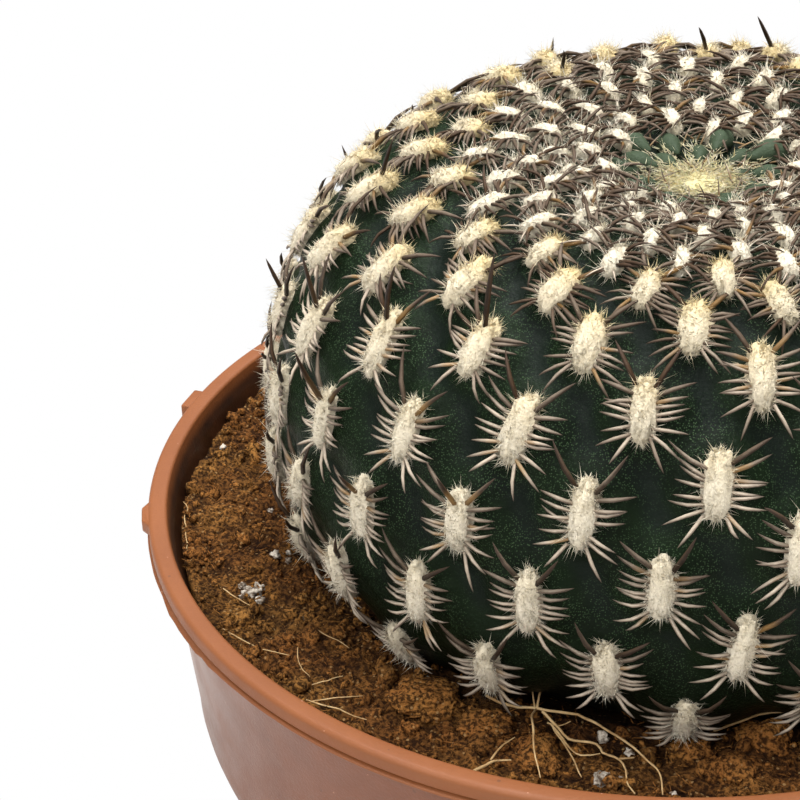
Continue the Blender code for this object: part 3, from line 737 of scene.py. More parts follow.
def pot_outline():
    """The bowl's section, from the rim's inner edge over its top, down the outside and up the inside."""
    crease_radius = RIM_RADIUS - CREASE_DEPTH
    points = corner(RIM_BORE + BORE_ROUND, POT_HEIGHT - BORE_ROUND, BORE_ROUND, 180.0, 90.0, 4)
    points += corner(RIM_RADIUS - RIM_ROUND, POT_HEIGHT - RIM_ROUND, RIM_ROUND, 90.0, 0.0, 6)
    points += corner(RIM_RADIUS - CREASE_ROUND, CREASE + CREASE_ROUND, CREASE_ROUND, 0.0, -90.0, 3)
    points += [(crease_radius, CREASE - 0.08 * MM), (crease_radius, CREASE - 0.2 * MM)]
    points += corner(RIM_RADIUS + 0.05 * MM, CREASE - 0.42 * MM, LIP_ROUND, 90.0, -80.0, 4)
    points += [(WALL_TOP_RADIUS + 0.5 * MM, RIM_UNDER + 0.15 * MM)]
    points += [(WALL_TOP_RADIUS + 0.1 * MM, RIM_UNDER)]
    points += wall_outline(0.0, RIM_UNDER - 0.6 * MM, 0.0, 16)
    points += [(0.0, 0.0), (0.0, WALL_THICKNESS)]
    inner = wall_outline(WALL_THICKNESS, POT_HEIGHT - 2.0 * RIM_DEPTH, WALL_THICKNESS, 12)
    return points + inner[::-1] + [(RIM_BORE, POT_HEIGHT - 1.0 * MM)]


def spun(outline, turns):
    """A closed section turned once round the upright axis."""
    form = bmesh.new()
    points = [form.verts.new((radius, 0.0, height)) for radius, height in outline]
    for here, after in zip(points, points[1:] + points[:1]):
        if here.co.x > 0.0 or after.co.x > 0.0:
            form.edges.new((here, after))
    section = form.verts[:] + form.edges[:]
    bmesh.ops.spin(
        form,
        geom=section,
        cent=(0.0, 0.0, 0.0),
        axis=UPRIGHT,
        angle=math.tau,
        steps=turns,
        use_merge=True,
    )
    bmesh.ops.remove_doubles(form, verts=form.verts, dist=0.001 * MM)
    bmesh.ops.recalc_face_normals(form, faces=form.faces)
    return form


def ragged_lip(form):
    """Makes the thin lip under the crease wavy all round, torn and hanging lower in one place."""
    for vert in form.verts:
        x, y, z = vert.co
        radius = math.hypot(x, y)
        if radius < WALL_TOP_RADIUS + 0.3 * MM or not CREASE - 1.2 * MM < z < CREASE - 0.22 * MM:
            continue
        wave = noise_at(x, y, 0.0, 220.0)
        tatter = noise_at(x, y, 0.2, 700.0)
        torn = math.exp(-(((math.atan2(y, x) - FLASH_MIDDLE) / FLASH_REACH) ** 4))
        drop = (0.10 + 0.10 * wave) * MM + torn * (0.30 + 0.45 * tatter) * MM
        grow = 1.0 + (0.08 * wave + 0.10 * torn * tatter) * MM / radius
        vert.co = (x * grow, y * grow, z - max(drop, 0.0))


# Moulding lugs on the rim: (azimuth in degrees, width, reach, height, width share at the far end).
LUGS = (
    (167.4, 4.6 * MM, 1.2 * MM, 2.0 * MM, 1.0),
    (-166.6, 8.4 * MM, 0.8 * MM, 1.8 * MM, 0.35),
)


def lug(azimuth, width, reach, height, point):
    form = new_form(bmesh.ops.create_cube, size=1.0)
    depth = reach + 1.1 * MM
    for vert in form.verts:
        taper = point if vert.co.x > 0.0 else 1.0
        vert.co = Vector((vert.co.x * depth, vert.co.y * width * taper, vert.co.z * height))
    bmesh.ops.bevel(
        form, geom=form.edges[:], offset=0.22 * MM, segments=2, profile=0.5, affect="EDGES", material=-1
    )
    spot = Vector((RIM_RADIUS + reach - depth / 2.0, 0.0, POT_HEIGHT - 0.35 * MM - height / 2.0))
    form.transform(Matrix.Rotation(math.radians(azimuth), 4, "Z") @ Matrix.Translation(spot))
    return form


def drain_cutter(number):
    form = new_form(
        bmesh.ops.create_cone,
        cap_ends=True,
        segments=32,
        radius1=DRAIN_RADIUS,
        radius2=DRAIN_RADIUS,
        depth=8.0 * MM,
    )
    angle = math.tau * (number + 0.5) / DRAIN_COUNT
    form.transform(Matrix.Translation(Vector((math.cos(angle), math.sin(angle), 0.0)) * DRAIN_CIRCLE))
    return form


def add_boolean(shell, operation, forms):
    """A Boolean modifier with a collection of helper objects, which is returned."""
    group = bpy.data.collections.new(operation)
    bpy.context.scene.collection.children.link(group)
    for form in forms:
        group.objects.link(bpy.data.objects.new(operation, mesh_from(form, operation)))
    join = shell.modifiers.new(operation, "BOOLEAN")
    join.operation = operation
    join.operand_type = "COLLECTION"
    join.collection = group
    join.solver = "EXACT"
    return group


def make_pot(material):
    form = spun(pot_outline(), POT_TURNS)
    ragged_lip(form)
    shell = add_object("pot_shell", mesh_from(form, "pot_shell"))
    lugs = add_boolean(shell, "UNION", [lug(*row) for row in LUGS])
    drains = add_boolean(shell, "DIFFERENCE", [drain_cutter(number) for number in range(DRAIN_COUNT)])
    mesh = worked_out(shell)
    for group in (lugs, drains):
        for thing in group.objects[:]:
            bpy.data.objects.remove(thing)
        bpy.data.collections.remove(group)
    mesh.set_sharp_from_angle(angle=SHARP_EDGE)
    pot = finished("plastic_pot", mesh, material, "pot_plastic")
    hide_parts("pot")


# Soil

SOIL_TURNS = 480
SOIL_RINGS = 60
SOIL_OPEN_RADIUS = 37.0 * MM
CRUMB_EDGE = 0.62
FIBRE_COUNT = 1800
OPEN_INNER = 36.0
OPEN_OUTER = 60.6


def crumb_rise(x, y, layer, scale):
    """1 in the middle of a crumb and 0 in the gaps between crumbs."""
    return 1.0 - min(noise.voronoi(Vector((x, y, layer)) * scale)[0][0] / CRUMB_EDGE, 1.0) ** 2


def ground(x, y):
    """(height, crumb share) of the coir, which climbs at the wall and is darkest by the plant's foot,
    where the belly's shadow is painted; the crumb share is also low in the gaps between crumbs, as painted
    shade.
    """
    swell = noise_at(x, y, 0.0, 60.0)
    lumps = noise_at(x + 0.3, y, 0.1, 190.0)
    fine = noise_at(x, y + 0.2, 0.3, 520.0)
    coarse = crumb_rise(x, y, 0.02, 480.0)
    small = crumb_rise(x, y, 0.05, 1150.0)
    climb = 1.3 * float(smoothstep(56.5 * MM, 61.0 * MM, math.hypot(x, y)))
    rise = 0.5 * swell + 0.75 * lumps + 0.5 * fine + 0.45 * coarse + 0.45 * small - 0.5 + climb
    # Painted shadow: the coir under the overhanging belly is darkened.
    painted_shadow_factor = 0.25 + 0.75 * float(smoothstep(46.0 * MM, 54.0 * MM, math.hypot(x - BODY_X, y)))
    return SOIL_TOP + rise * MM, painted_shadow_factor * (0.35 * coarse + 0.35 * small + 0.3 * (0.5 + lumps))


def on_ground(x, y, lift):
    """A place over the coir, from sizes in mm."""
    return Vector((x * MM, y * MM, ground(x * MM, y * MM)[0] + lift * MM))


def under_body(x, y):
    """Height of the body's underside over a place, or a high number outside it."""
    radius = math.hypot(x - BODY_X, y)
    low = BODY.height < BELT_HEIGHT
    height = float(np.interp(radius, BODY.radius[low][::-1], BODY.height[low][::-1], right=1.0))
    return height - float(root_neck(x, y, height)) if height < 1.0 else height


def soil_outline():
    """The fill's section: the top, from its middle to the wall, then down the wall and back below."""
    inset = WALL_THICKNESS + 0.05 * MM
    edge = wall_radius(SOIL_TOP, inset)
    points = [(SOIL_OPEN_RADIUS * step / 8.0, SOIL_TOP) for step in range(8)]
    for step in range(SOIL_RINGS + 1):
        points.append((SOIL_OPEN_RADIUS + (edge - SOIL_OPEN_RADIUS) * step / SOIL_RINGS, SOIL_TOP))
    points += wall_outline(inset, SOIL_TOP - 2.0 * MM, inset, 6)
    return points + [(0.0, inset)]


def make_soil(material):
    form = spun(soil_outline(), SOIL_TURNS)
    crumb = []
    for vert in form.verts:
        x, y, z = vert.co
        share = 0.5
        if z > SOIL_TOP - 0.1 * MM:
            height, share = ground(x, y)
            vert.co.z = min(height, under_body(x, y) - SEAT_GAP)
        crumb.append(share)
    soil = finished("coir_soil", mesh_from(form, "coir_soil"), material, "coir", crumb=crumb)
    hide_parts("soil")


def open_spot(draw, margin):
    """A random place on the soil that the body's foot leaves open."""
    while True:
        angle = draw.uniform(0.0, math.tau)
        radius = math.sqrt(draw.uniform(OPEN_INNER**2, OPEN_OUTER**2)) * MM
        x, y = radius * math.cos(angle), radius * math.sin(angle)
        if under_body(x, y) > SOIL_TOP + margin:
            return x, y


def make_crumbs(name, count, smallest, largest, subdivisions, seed, material):
    """Loose crumbs of coir on the surface, each a rough little lump."""
    lump = unit_ball(subdivisions)
    draw = np.random.default_rng(seed)
    points = np.empty((count, len(lump.points), 3))
    tone = draw.uniform(0.0, 1.0, count)
    for number in range(count):
        size = (smallest + (largest - smallest) * draw.random() ** 2.2) * MM
        x, y = open_spot(draw, 1.2 * size)
        rough = 1.0 + 0.22 * draw.standard_normal((len(lump.points), 1))
        stretch = draw.uniform(0.6, 1.3, 3)
        turn = np.array(Matrix.Rotation(draw.uniform(0.0, math.tau), 3, draw.standard_normal(3)))
        shape = (lump.points * np.clip(rough, 0.6, 1.5) * stretch) @ turn.T
        points[number] = shape * size + [x, y, ground(x, y)[0] + 0.25 * size]
    finished_copies(name, lump, points, material, "coir", crumb=0.45 + 0.5 * tone)


# Clumps of coir at the front: (x, y, half widths and half height in mm).
CLUMPS = (
    (-23.5, -43.6, 4.2, 3.0, 1.8),
    (-10.4, -51.4, 2.3, 3.6, 1.9),
    (6.3, -48.9, 2.4, 1.8, 1.5),
    (14.4, -46.2, 3.2, 2.2, 1.8),
    (11.0, -51.4, 2.8, 2.0, 1.3),
    (-16.8, -47.0, 3.0, 2.2, 1.4),
)
LARGE_CLUMPS = 2


def make_clumps(material):
    """Larger clumps, each a ball that is pushed about by noise of three sizes."""
    whole = bmesh.new()
    for number, (x, y, *halves) in enumerate(CLUMPS):
        fineness = 5 if number < LARGE_CLUMPS else 4
        part = bmesh.ops.create_icosphere(whole, subdivisions=fineness, radius=1.0)["verts"]
        middle = on_ground(x, y, 0.35 * halves[2])
        seed = Vector((number * 7.3, 0.0, 0.0))
        for vert in part:
            bulge = 1.0 + 0.34 * noise.noise(vert.co * 1.3 + seed)
            bulge += 0.20 * noise.noise(vert.co * 3.4 + seed)
            bulge += 0.16 * (0.5 - noise.voronoi(vert.co * 4.5 + seed)[0][0])
            bulge += 0.07 * noise.noise(vert.co * 11.0 + seed)
            vert.co = middle + Vector(a * b for a, b in zip(vert.co, Vector(halves) * MM * bulge))
    finished("coir_clumps", mesh_from(whole, "coir_clumps"), material, "coir", crumb=0.85)


def make_coir_fibres(material):
    """Short curled fibres of the coir."""
    draw = np.random.default_rng(31)
    form = unit_needle(3, (0.35, 0.7), 3.0)
    root = np.empty((FIBRE_COUNT, 3))
    for number in range(FIBRE_COUNT):
        x, y = open_spot(draw, 0.4 * MM)
        root[number] = (x, y, ground(x, y)[0] + draw.uniform(-0.1, 0.35) * MM)
    way = draw.standard_normal((FIBRE_COUNT, 3)) * [1.0, 1.0, 0.22]
    bend = draw.standard_normal((FIBRE_COUNT, 3)) * [0.45, 0.45, 0.15]
    length = draw.uniform(0.9, 3.2, FIBRE_COUNT) * MM
    radius = draw.uniform(0.04, 0.10, FIBRE_COUNT) * MM
    points = place_needles(form, root, way, length, radius, bend)
    crumb = draw.uniform(0.55, 1.2, FIBRE_COUNT)
    finished_copies("coir_fibres", form, points, material, "coir", crumb=crumb)


# Roots

# Loose roots: (thickness in mm, waviness in mm, then x, y and lift over the soil in mm for each point).
ROOTS = (
    (0.42, 0.10, (-16.9, -43.4, 1.6), (-14.0, -45.0, 1.6), (-10.9, -45.9, 2.2), (-6.3, -46.1, 1.7),
     (-2.4, -48.1, 1.3), (1.8, -52.3, 1.1), (2.9, -54.4, 1.4), (3.4, -57.4, 0.9)),
    (0.40, 0.16, (-10.4, -46.0, 2.0), (-8.6, -47.4, 1.3), (-7.1, -49.2, 0.9), (-4.2, -49.8, 0.8),
     (-3.5, -51.1, 0.8), (-1.9, -51.9, 0.8), (-0.7, -53.8, 0.8), (0.4, -57.2, 0.6)),
    (0.30, 0.10, (-9.3, -47.2, 1.3), (-7.4, -49.9, 0.8), (-5.6, -51.7, 0.7), (-3.6, -51.2, 0.8)),
    (0.30, 0.10, (-9.0, -47.6, 1.1), (-7.4, -50.2, 0.7), (-5.4, -54.8, 0.4)),
    (0.34, 0.06, (-10.9, -45.9, 2.2), (-10.6, -43.8, 3.6), (-9.2, -40.6, 5.0)),
    (0.28, 0.06, (-11.1, -45.7, 2.0), (-11.7, -42.8, 3.6)),
    (0.34, 0.12, (-10.9, -45.9, 2.2), (-11.5, -48.4, 3.0), (-11.0, -51.8, 3.4), (-9.9, -56.3, 1.2)),
    (0.24, 0.06, (-9.8, -47.2, 1.4), (-8.3, -47.3, 1.2), (-7.1, -46.8, 1.4)),
    (0.46, 0.16, (-18.6, -57.2, 0.8), (-16.5, -55.2, 0.9), (-15.0, -53.7, 0.9), (-13.2, -53.2, 0.6)),
    (0.30, 0.08, (-15.5, -53.5, 0.8), (-14.3, -51.1, 1.0), (-13.2, -49.6, 0.8)),
    (0.32, 0.06, (-1.4, -51.9, 0.8), (0.3, -51.3, 0.6)),
    (0.36, 0.10, (8.8, -46.6, 1.2), (12.6, -45.6, 2.4), (16.0, -44.2, 2.6), (19.4, -43.0, 1.8)),
    (0.20, 0.30, (-50.0, -33.1, 0.7), (-45.2, -35.7, 0.6), (-41.2, -36.9, 0.5)),
    (0.16, 0.26, (-38.4, -31.6, 0.6), (-36.3, -33.0, 0.7), (-34.3, -35.0, 0.6)),
    (0.16, 0.26, (-40.6, -35.5, 0.5), (-39.4, -38.6, 0.6), (-38.3, -41.3, 0.6)),
    (0.18, 0.26, (-38.2, -43.2, 0.5), (-36.1, -42.4, 0.8), (-33.8, -40.5, 0.6)),
    (0.24, 0.24, (-37.4, -45.2, 0.5), (-34.0, -46.2, 0.7), (-30.6, -47.9, 0.6)),
    (0.20, 0.24, (-37.0, -45.2, 0.6), (-33.6, -44.4, 0.7), (-31.0, -43.8, 0.6)),
    (0.18, 0.34, (-61.0, -6.8, 0.9), (-59.6, -11.2, 0.8), (-56.8, -19.6, 0.7), (-54.9, -26.0, 0.5)),
    (0.18, 0.08, (-51.7, -24.4, 0.5), (-49.7, -26.1, 0.6), (-47.0, -28.1, 0.5)),
    (0.30, 0.12, (45.3, 35.4, 0.6), (41.3, 38.9, 0.7), (36.2, 44.7, 0.6), (30.6, 47.5, 0.5)),
    (0.24, 0.10, (-24.0, 52.0, 0.6), (-29.0, 49.0, 0.8), (-34.5, 47.5, 0.6)),
    (0.22, 0.10, (20.0, 54.0, 0.6), (14.0, 55.0, 0.8), (9.0, 53.4, 0.6)),
)
ROOT_SPACING = 0.7 * MM


def smooth_route(points):
    """Places close together on the smooth curve through the given points."""
    points = [Vector(point) * MM for point in points]
    ends = [points[0] * 2 - points[1]] + points + [points[-1] * 2 - points[-2]]
    route = []
    for before, here, there, after in zip(ends, ends[1:], ends[2:], ends[3:]):
        steps = max(int((there - here).length / ROOT_SPACING), 2)
        first = (there - before) * 0.5
        second = before - here * 2.5 + there * 2.0 - after * 0.5
        third = (here - there) * 1.5 + (after - before) * 0.5
        for step in range(steps):
            t = step / steps
            route.append(here + first * t + second * t * t + third * t * t * t)
    return route + [points[-1]]


def lay_root(spline, number, thickness, waviness, points):
    """Lays one root over the coir, with a little sway and a thickness that falls to its end."""
    route = smooth_route(points)
    spline.points.add(len(route) - 1)
    for index, place in enumerate(route):
        sway = Vector((number * 3.1, index * 0.23, 0.0))
        aside = noise.noise(sway + Vector((9.0, 0.0, 0.0)))
        spot = place + Vector((noise.noise(sway), aside, 0.0)) * waviness * 3.0 * MM
        height = max(SOIL_TOP, ground(spot.x, spot.y)[0] * 0.35 + SOIL_TOP * 0.65) + place.z
        share = index / (len(route) - 1)
        taper = 1.0 - 0.55 * share**2 + 0.12 * noise.noise(sway * 2.0)
        spline.points[index].co = (spot.x, spot.y, height, 1.0)
        spline.points[index].radius = thickness * 0.42 * MM * taper


def make_roots(material):
    """Thin pale roots that lie over the coir, as one curve with a thickness at each point."""
    curve = bpy.data.curves.new("roots", "CURVE")
    curve.dimensions = "3D"
    curve.bevel_depth = 1.0
    curve.bevel_resolution = 1
    curve.use_fill_caps = True
    for number, (thickness, waviness, *points) in enumerate(ROOTS):
        lay_root(curve.splines.new("POLY"), number, thickness, waviness, points)
    mesh = worked_out(add_object("roots_curve", curve))
    mesh.materials.clear()
    roots = finished("loose_roots", mesh, material, "root_fibre")
    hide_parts(*[name for name in frame["nodes"] if name.startswith("root_fibre")])


# Perlite

# Grains of perlite: (x, y, half size in mm).
PERLITE = (
    (-48.4, -24.0, 0.9), (-46.9, -25.3, 0.6), (-49.6, -22.8, 0.5), (-46.6, -16.2, 0.6),
    (-45.4, -14.6, 0.5), (-49.4, -4.8, 0.4), (-58.6, 8.8, 0.5), (-47.4, -23.3, 0.7),
    (-49.2, -24.9, 0.4), (-44.9, -16.4, 0.4), (-15.2, -46.6, 0.5), (-3.4, -47.6, 0.7),
    (-0.4, -49.6, 0.5), (-3.2, -54.2, 0.9), (-1.2, -54.6, 0.4), (4.6, -55.8, 0.4),
    (-41.0, -28.6, 0.4), (38.0, 43.0, 0.9), (-20.0, 53.0, 0.8), (56.0, 14.0, 0.6),
    (-36.0, 40.0, 0.6), (20.0, -52.6, 0.6),
)


def make_perlite(material):
    """White grains of perlite, half sunk in the coir."""
    whole = bmesh.new()
    for number, (x, y, size) in enumerate(PERLITE):
        part = bmesh.ops.create_icosphere(whole, subdivisions=3, radius=1.0)["verts"]
        middle = on_ground(x, y, 0.3 * size)
        seed = Vector((0.0, number * 5.1, 0.0))
        for vert in part:
            bulge = 1.0 + 0.75 * noise.noise(vert.co * 1.7 + seed)
            bulge += 0.40 * noise.noise(vert.co * 4.0 + seed)
            vert.co = middle + vert.co * bulge * size * MM
    finished("perlite", mesh_from(whole, "perlite"), material, "perlite")


# Materials


class Nodes:
    """Short ways to add nodes to a tree. A value is a number, a colour or another node's output."""

    def __init__(self, tree):
        self.tree = tree

    def put(self, value, socket):
        if isinstance(value, bpy.types.NodeSocket):
            self.tree.links.new(value, socket)
        else:
            socket.default_value = (*value, 1.0) if isinstance(value, tuple) else value

    def add(self, kind, values=None, **settings):
        """The outputs of a new node. values holds what goes into its inputs, by name or number."""
        node = self.tree.nodes.new(kind)
        for name, setting in settings.items():
            setattr(node, name, setting)
        for name, value in (values or {}).items():
            self.put(value, node.inputs[name])
        return node.outputs

    def math(self, operation, *values, clamp=False):
        values = dict(enumerate(values))
        return self.add("ShaderNodeMath", values, operation=operation, use_clamp=clamp)[0]

    def times(self, first, second, clamp=False):
        return self.math("MULTIPLY", first, second, clamp=clamp)

    def plus(self, first, second, clamp=False):
        return self.math("ADD", first, second, clamp=clamp)

    def minus(self, first, second, clamp=False):
        return self.math("SUBTRACT", first, second, clamp=clamp)

    def ramp(self, value, low, high):
        """0 below low and 1 above high."""
        values = {"Value": value, "From Min": low, "From Max": high}
        return self.add("ShaderNodeMapRange", values, interpolation_type="SMOOTHSTEP")["Result"]

    def mix(self, share, first, second):
        return self.add("ShaderNodeMix", {0: share, 6: first, 7: second}, data_type="RGBA")[2]

    def tint(self, colour, share, strength, other):
        """A colour moved towards another one by share times strength."""
        return self.mix(self.times(share, strength), colour, other)

    def place(self, kind="Object"):
        return self.add("ShaderNodeTexCoord")[kind]

    def parts(self, vector):
        return self.add("ShaderNodeSeparateXYZ", {0: vector})


def new_group(name, inputs, outputs):
    """(nodes, inside, outside) of a node group, with the sockets that lead into it and out of it."""
    group = bpy.data.node_groups.new(name, "ShaderNodeTree")
    for title, value in inputs.items():
        socket = group.interface.new_socket(title, in_out="INPUT", socket_type="NodeSocketFloat")
        socket.default_value = value
    for title, kind in outputs.items():
        group.interface.new_socket(title, in_out="OUTPUT", socket_type=kind)
    nodes = Nodes(group)
    return nodes, nodes.add("NodeGroupInput"), group.nodes.new("NodeGroupOutput").inputs


def blotch_group():
    """Noise on the object's own coordinates: a mask from 0 to 1 and a bumped normal."""
    inputs = {"Scale": 500.0, "Low": 0.35, "High": 0.65, "Detail": 4.0, "Depth": 0.0001}
    outputs = {"Mask": "NodeSocketFloat", "Normal": "NodeSocketVector"}
    nodes, inside, outside = new_group("blotches", inputs, outputs)
    values = {"Scale": inside["Scale"], "Detail": inside["Detail"], "Roughness": 0.6}
    grain = nodes.add("ShaderNodeTexNoise", {"Vector": nodes.place(), **values})["Fac"]
    nodes.put(nodes.ramp(grain, inside["Low"], inside["High"]), outside["Mask"])
    bump = nodes.add("ShaderNodeBump", {"Strength": 1.0, "Height": grain, "Distance": inside["Depth"]})
    nodes.put(bump["Normal"], outside["Normal"])
    return nodes.tree


def dots_group():
    """Small round dots on the object's own coordinates, with some of them left out."""
    inputs = {"Scale": 2500.0, "Radius": 0.2, "Share": 0.5}
    nodes, inside, outside = new_group("dots", inputs, {"Mask": "NodeSocketFloat"})
    cells = nodes.add("ShaderNodeTexVoronoi", {"Vector": nodes.place(), "Scale": inside["Scale"]})
    near = nodes.math("LESS_THAN", cells["Distance"], inside["Radius"])
    lot = nodes.add("ShaderNodeSeparateColor", {0: cells["Color"]})[0]
    nodes.put(nodes.times(near, nodes.math("LESS_THAN", lot, inside["Share"])), outside["Mask"])
    return nodes.tree


BLOTCHES = blotch_group()
DOTS = dots_group()


class Look(Nodes):
    """A material under way, with its shader and the shared effects."""

    def __init__(self, name, roughness, specular):
        self.material = bpy.data.materials.new(name)
        self.material.use_nodes = True
        super().__init__(self.material.node_tree)
        self.shader = self.tree.nodes["Principled BSDF"]
        self.shader.inputs["Roughness"].default_value = roughness
        self.shader.inputs["Specular IOR Level"].default_value = specular

    def read(self, name):
        return self.add("ShaderNodeAttribute", attribute_name=name)["Fac"]

    def blotches(self, scale, low=0.35, high=0.65, detail=4.0, depth=0.0001):
        values = {"Scale": scale, "Low": low, "High": high, "Detail": detail, "Depth": depth}
        return self.add("ShaderNodeGroup", values, node_tree=BLOTCHES)

    def mask(self, *values):
        return self.blotches(*values)["Mask"]

    def grain(self, scale, depth):
        return self.blotches(scale, depth=depth)["Normal"]

    def dots(self, scale, radius, share):
        values = {"Scale": scale, "Radius": radius, "Share": share}
        return self.add("ShaderNodeGroup", values, node_tree=DOTS)["Mask"]

    def done(self, colour, normal, roughness=None):
        self.put(colour, self.shader.inputs["Base Color"])
        self.put(normal, self.shader.inputs["Normal"])
        if roughness is not None:
            self.put(roughness, self.shader.inputs["Roughness"])
        return self.material


def skin_material():
    """Waxy dark green skin with a dust of pale dots, greyer in the furrows, partly its own tone and partly
    painted sheen, and darkest at its foot, where shade is painted.
    """
    look = Look("cactus_skin_waxy", 0.45, 0.085)
    tubercle = look.read("tubercle")
    broad = look.mask(160.0)
    green = look.mix(broad, (0.0028, 0.0070, 0.0022), (0.0055, 0.013, 0.0042))
    # Greyer in the furrows: partly the skin's own tone, partly painted sheen.
    furrow = look.mix(broad, (0.004, 0.0075, 0.005), (0.007, 0.012, 0.008))
    colour = look.mix(look.ramp(tubercle, 0.15, 0.6), furrow, green)
    dust = look.times(look.dots(4300.0, 0.30, 0.9), look.mask(230.0, 0.32, 0.58))
    dust = look.times(dust, look.ramp(tubercle, 0.02, 0.4))
    colour = look.tint(colour, dust, 0.8, (0.050, 0.088, 0.040))
    colour = look.tint(colour, look.read("fresh"), 0.8, (0.055, 0.078, 0.046))
    # Painted shade: the skin is darkened towards its foot by the soil, where the belly's shadow falls.
    height = look.parts(look.place())["Z"]
    foot = look.minus(1.0, look.ramp(height, POT_HEIGHT - 6.0 * MM, POT_HEIGHT + 16.0 * MM))
    colour = look.tint(colour, foot, 0.8, (0.0010, 0.0016, 0.0009))
    roughness = look.plus(look.times(look.mask(900.0), 0.14), 0.38)
    return look.done(colour, look.grain(2400.0, 0.00016), roughness)


def wool_material():
    """Matted wool, cream to ochre, a little different from hair to hair, with painted shade on the pad
    cores, the crown mound, between hairs and in the clefts.
    """
    look = Look("areole_wool_matted", 0.95, 0.1)
    look.shader.inputs["Sheen Weight"].default_value = 0.1
    tone = look.plus(look.read("tone"), look.times(look.mask(1100.0, 0.3, 0.7), 0.12), clamp=True)
    colour = look.mix(tone, (0.97, 0.915, 0.77), (0.88, 0.70, 0.35))
    colour = look.tint(colour, look.read("fresh"), 0.6, (0.55, 0.62, 0.30))
    clefts = look.blotches(3800.0, 0.30, 0.62, 5.0, 0.00025)
    # Painted shade: darker towards brown by each piece's shade value and in the clefts of the bump.
    shade = look.plus(look.read("shade"), look.minus(1.0, clefts["Mask"]))
    colour = look.mix(look.times(shade, 0.31, clamp=True), colour, (0.36, 0.28, 0.18))
    return look.done(colour, clefts["Normal"])


def spine_material():
    """Horny spines: bone-pale when low, grey-brown when high, some with amber, all darker to the tip, with
    a painted highlight along the top and painted shade beneath.
    """
    look = Look("spine_horn", 0.5, 0.15)
    along = look.read("along")
    # Painted light: lighter along each spine's top and darker beneath, mixed with a random mottle.
    painted_lit_top = look.times(look.ramp(look.read("painted_lit_top"), 0.0, 1.0), 0.75)
    light = look.plus(painted_lit_top, look.times(look.mask(2200.0, 0.25, 0.75), 0.25))
    pale = look.mix(light, (0.14, 0.098, 0.07), (0.56, 0.47, 0.365))
    dark = look.mix(light, (0.013, 0.007, 0.004), (0.066, 0.038, 0.021))
    colour = look.mix(look.read("age"), pale, dark)
    band = look.times(look.minus(1.0, look.ramp(along, 0.25, 0.65)), look.read("amber"))
    colour = look.tint(colour, band, 0.7, (0.30, 0.17, 0.055))
    colour = look.tint(colour, look.ramp(along, 0.40, 1.0), 0.8, (0.05, 0.032, 0.022))
    return look.done(colour, look.grain(3000.0, 0.00006))


def coir_material():
    """Brown coir: dark in the gaps, as painted shade, golden on the crumbs, with redder patches."""
    look = Look("coir_crumbly", 0.9, 0.1)
    fine = look.blotches(2100.0, 0.40, 0.60, 8.0, 0.0011)
    # Painted shade: the crumb value and the bump's noise darken the gaps between crumbs; the painted
    # shadow by the plant's foot also comes in through the crumb value.
    share = look.times(look.read("crumb"), look.plus(fine["Mask"], 0.12), clamp=True)
    gold = look.mix(look.mask(90.0), (0.51, 0.235, 0.058), (0.43, 0.170, 0.042))
    colour = look.mix(share, (0.018, 0.007, 0.003), gold)
    colour = look.tint(colour, look.dots(1700.0, 0.30, 0.16), 0.55, (0.56, 0.34, 0.14))
    return look.done(colour, fine["Normal"])


def bore_painted_shade(look, place):
    """How much painted shade darkens the bore: nothing on the rim's top, more further down, a little
    patchy.
    """
    x, y, z = place["X"], place["Y"], place["Z"]
    radius = look.math("SQRT", look.plus(look.times(x, x), look.times(y, y)))
    straight = look.plus(radius, look.times(look.minus(POT_HEIGHT, z), WALL_DRAFT))
    outer = look.ramp(straight, RIM_BORE + 0.20 * MM, RIM_BORE + 0.35 * MM)
    upper = look.ramp(z, POT_HEIGHT - 2.4 * MM, POT_HEIGHT - 0.5 * MM)
    shown = look.ramp(z, POT_HEIGHT - 11.0 * MM, POT_HEIGHT - 10.0 * MM)
    # Noise that thins the painted shade in patches.
    shade_patchiness = look.times(look.mask(300.0, 0.2, 0.8), 0.2)
    low = look.minus(look.minus(1.0, upper), shade_patchiness, clamp=True)
    return look.times(look.times(look.minus(1.0, outer), shown), low)


def plastic_material():
    """Moulded terracotta plastic: matt on the rim, smoother on the wall, with small dark specks and
    painted shade down the bore.
    """
    look = Look("terracotta_plastic", 0.4, 0.36)
    place = look.parts(look.place())
    rim = look.ramp(place["Z"], POT_HEIGHT - 3.4 * MM, POT_HEIGHT - 2.8 * MM)
    cloudy = look.mask(70.0, 0.2, 0.8)
    wall_colour = look.mix(cloudy, (0.128, 0.042, 0.019), (0.184, 0.058, 0.022))
    rim_colour = look.mix(cloudy, (0.200, 0.063, 0.018), (0.235, 0.076, 0.022))
    colour = look.mix(rim, wall_colour, rim_colour)
    colour = look.tint(colour, look.dots(420.0, 0.10, 0.22), 0.6, (0.10, 0.04, 0.02))
    colour = look.tint(colour, look.dots(650.0, 0.08, 0.16), 0.5, (0.55, 0.30, 0.20))
    # Painted shade: the bore is darkened towards a near-black brown.
    colour = look.mix(bore_painted_shade(look, place), colour, (0.022, 0.008, 0.0035))
    worn = look.times(look.mask(170.0, 0.35, 0.7, 6.0), 0.10)
    roughness = look.plus(look.plus(look.times(rim, 0.22), worn), 0.29)
    return look.done(colour, look.grain(2400.0, 0.00005), roughness)


def root_material():
    """Dry straw-coloured root."""
    look = Look("dry_root", 0.7, 0.25)
    colour = look.mix(look.mask(420.0, 0.3, 0.7), (0.36, 0.21, 0.085), (0.68, 0.48, 0.24))
    return look.done(colour, look.grain(1800.0, 0.00012))


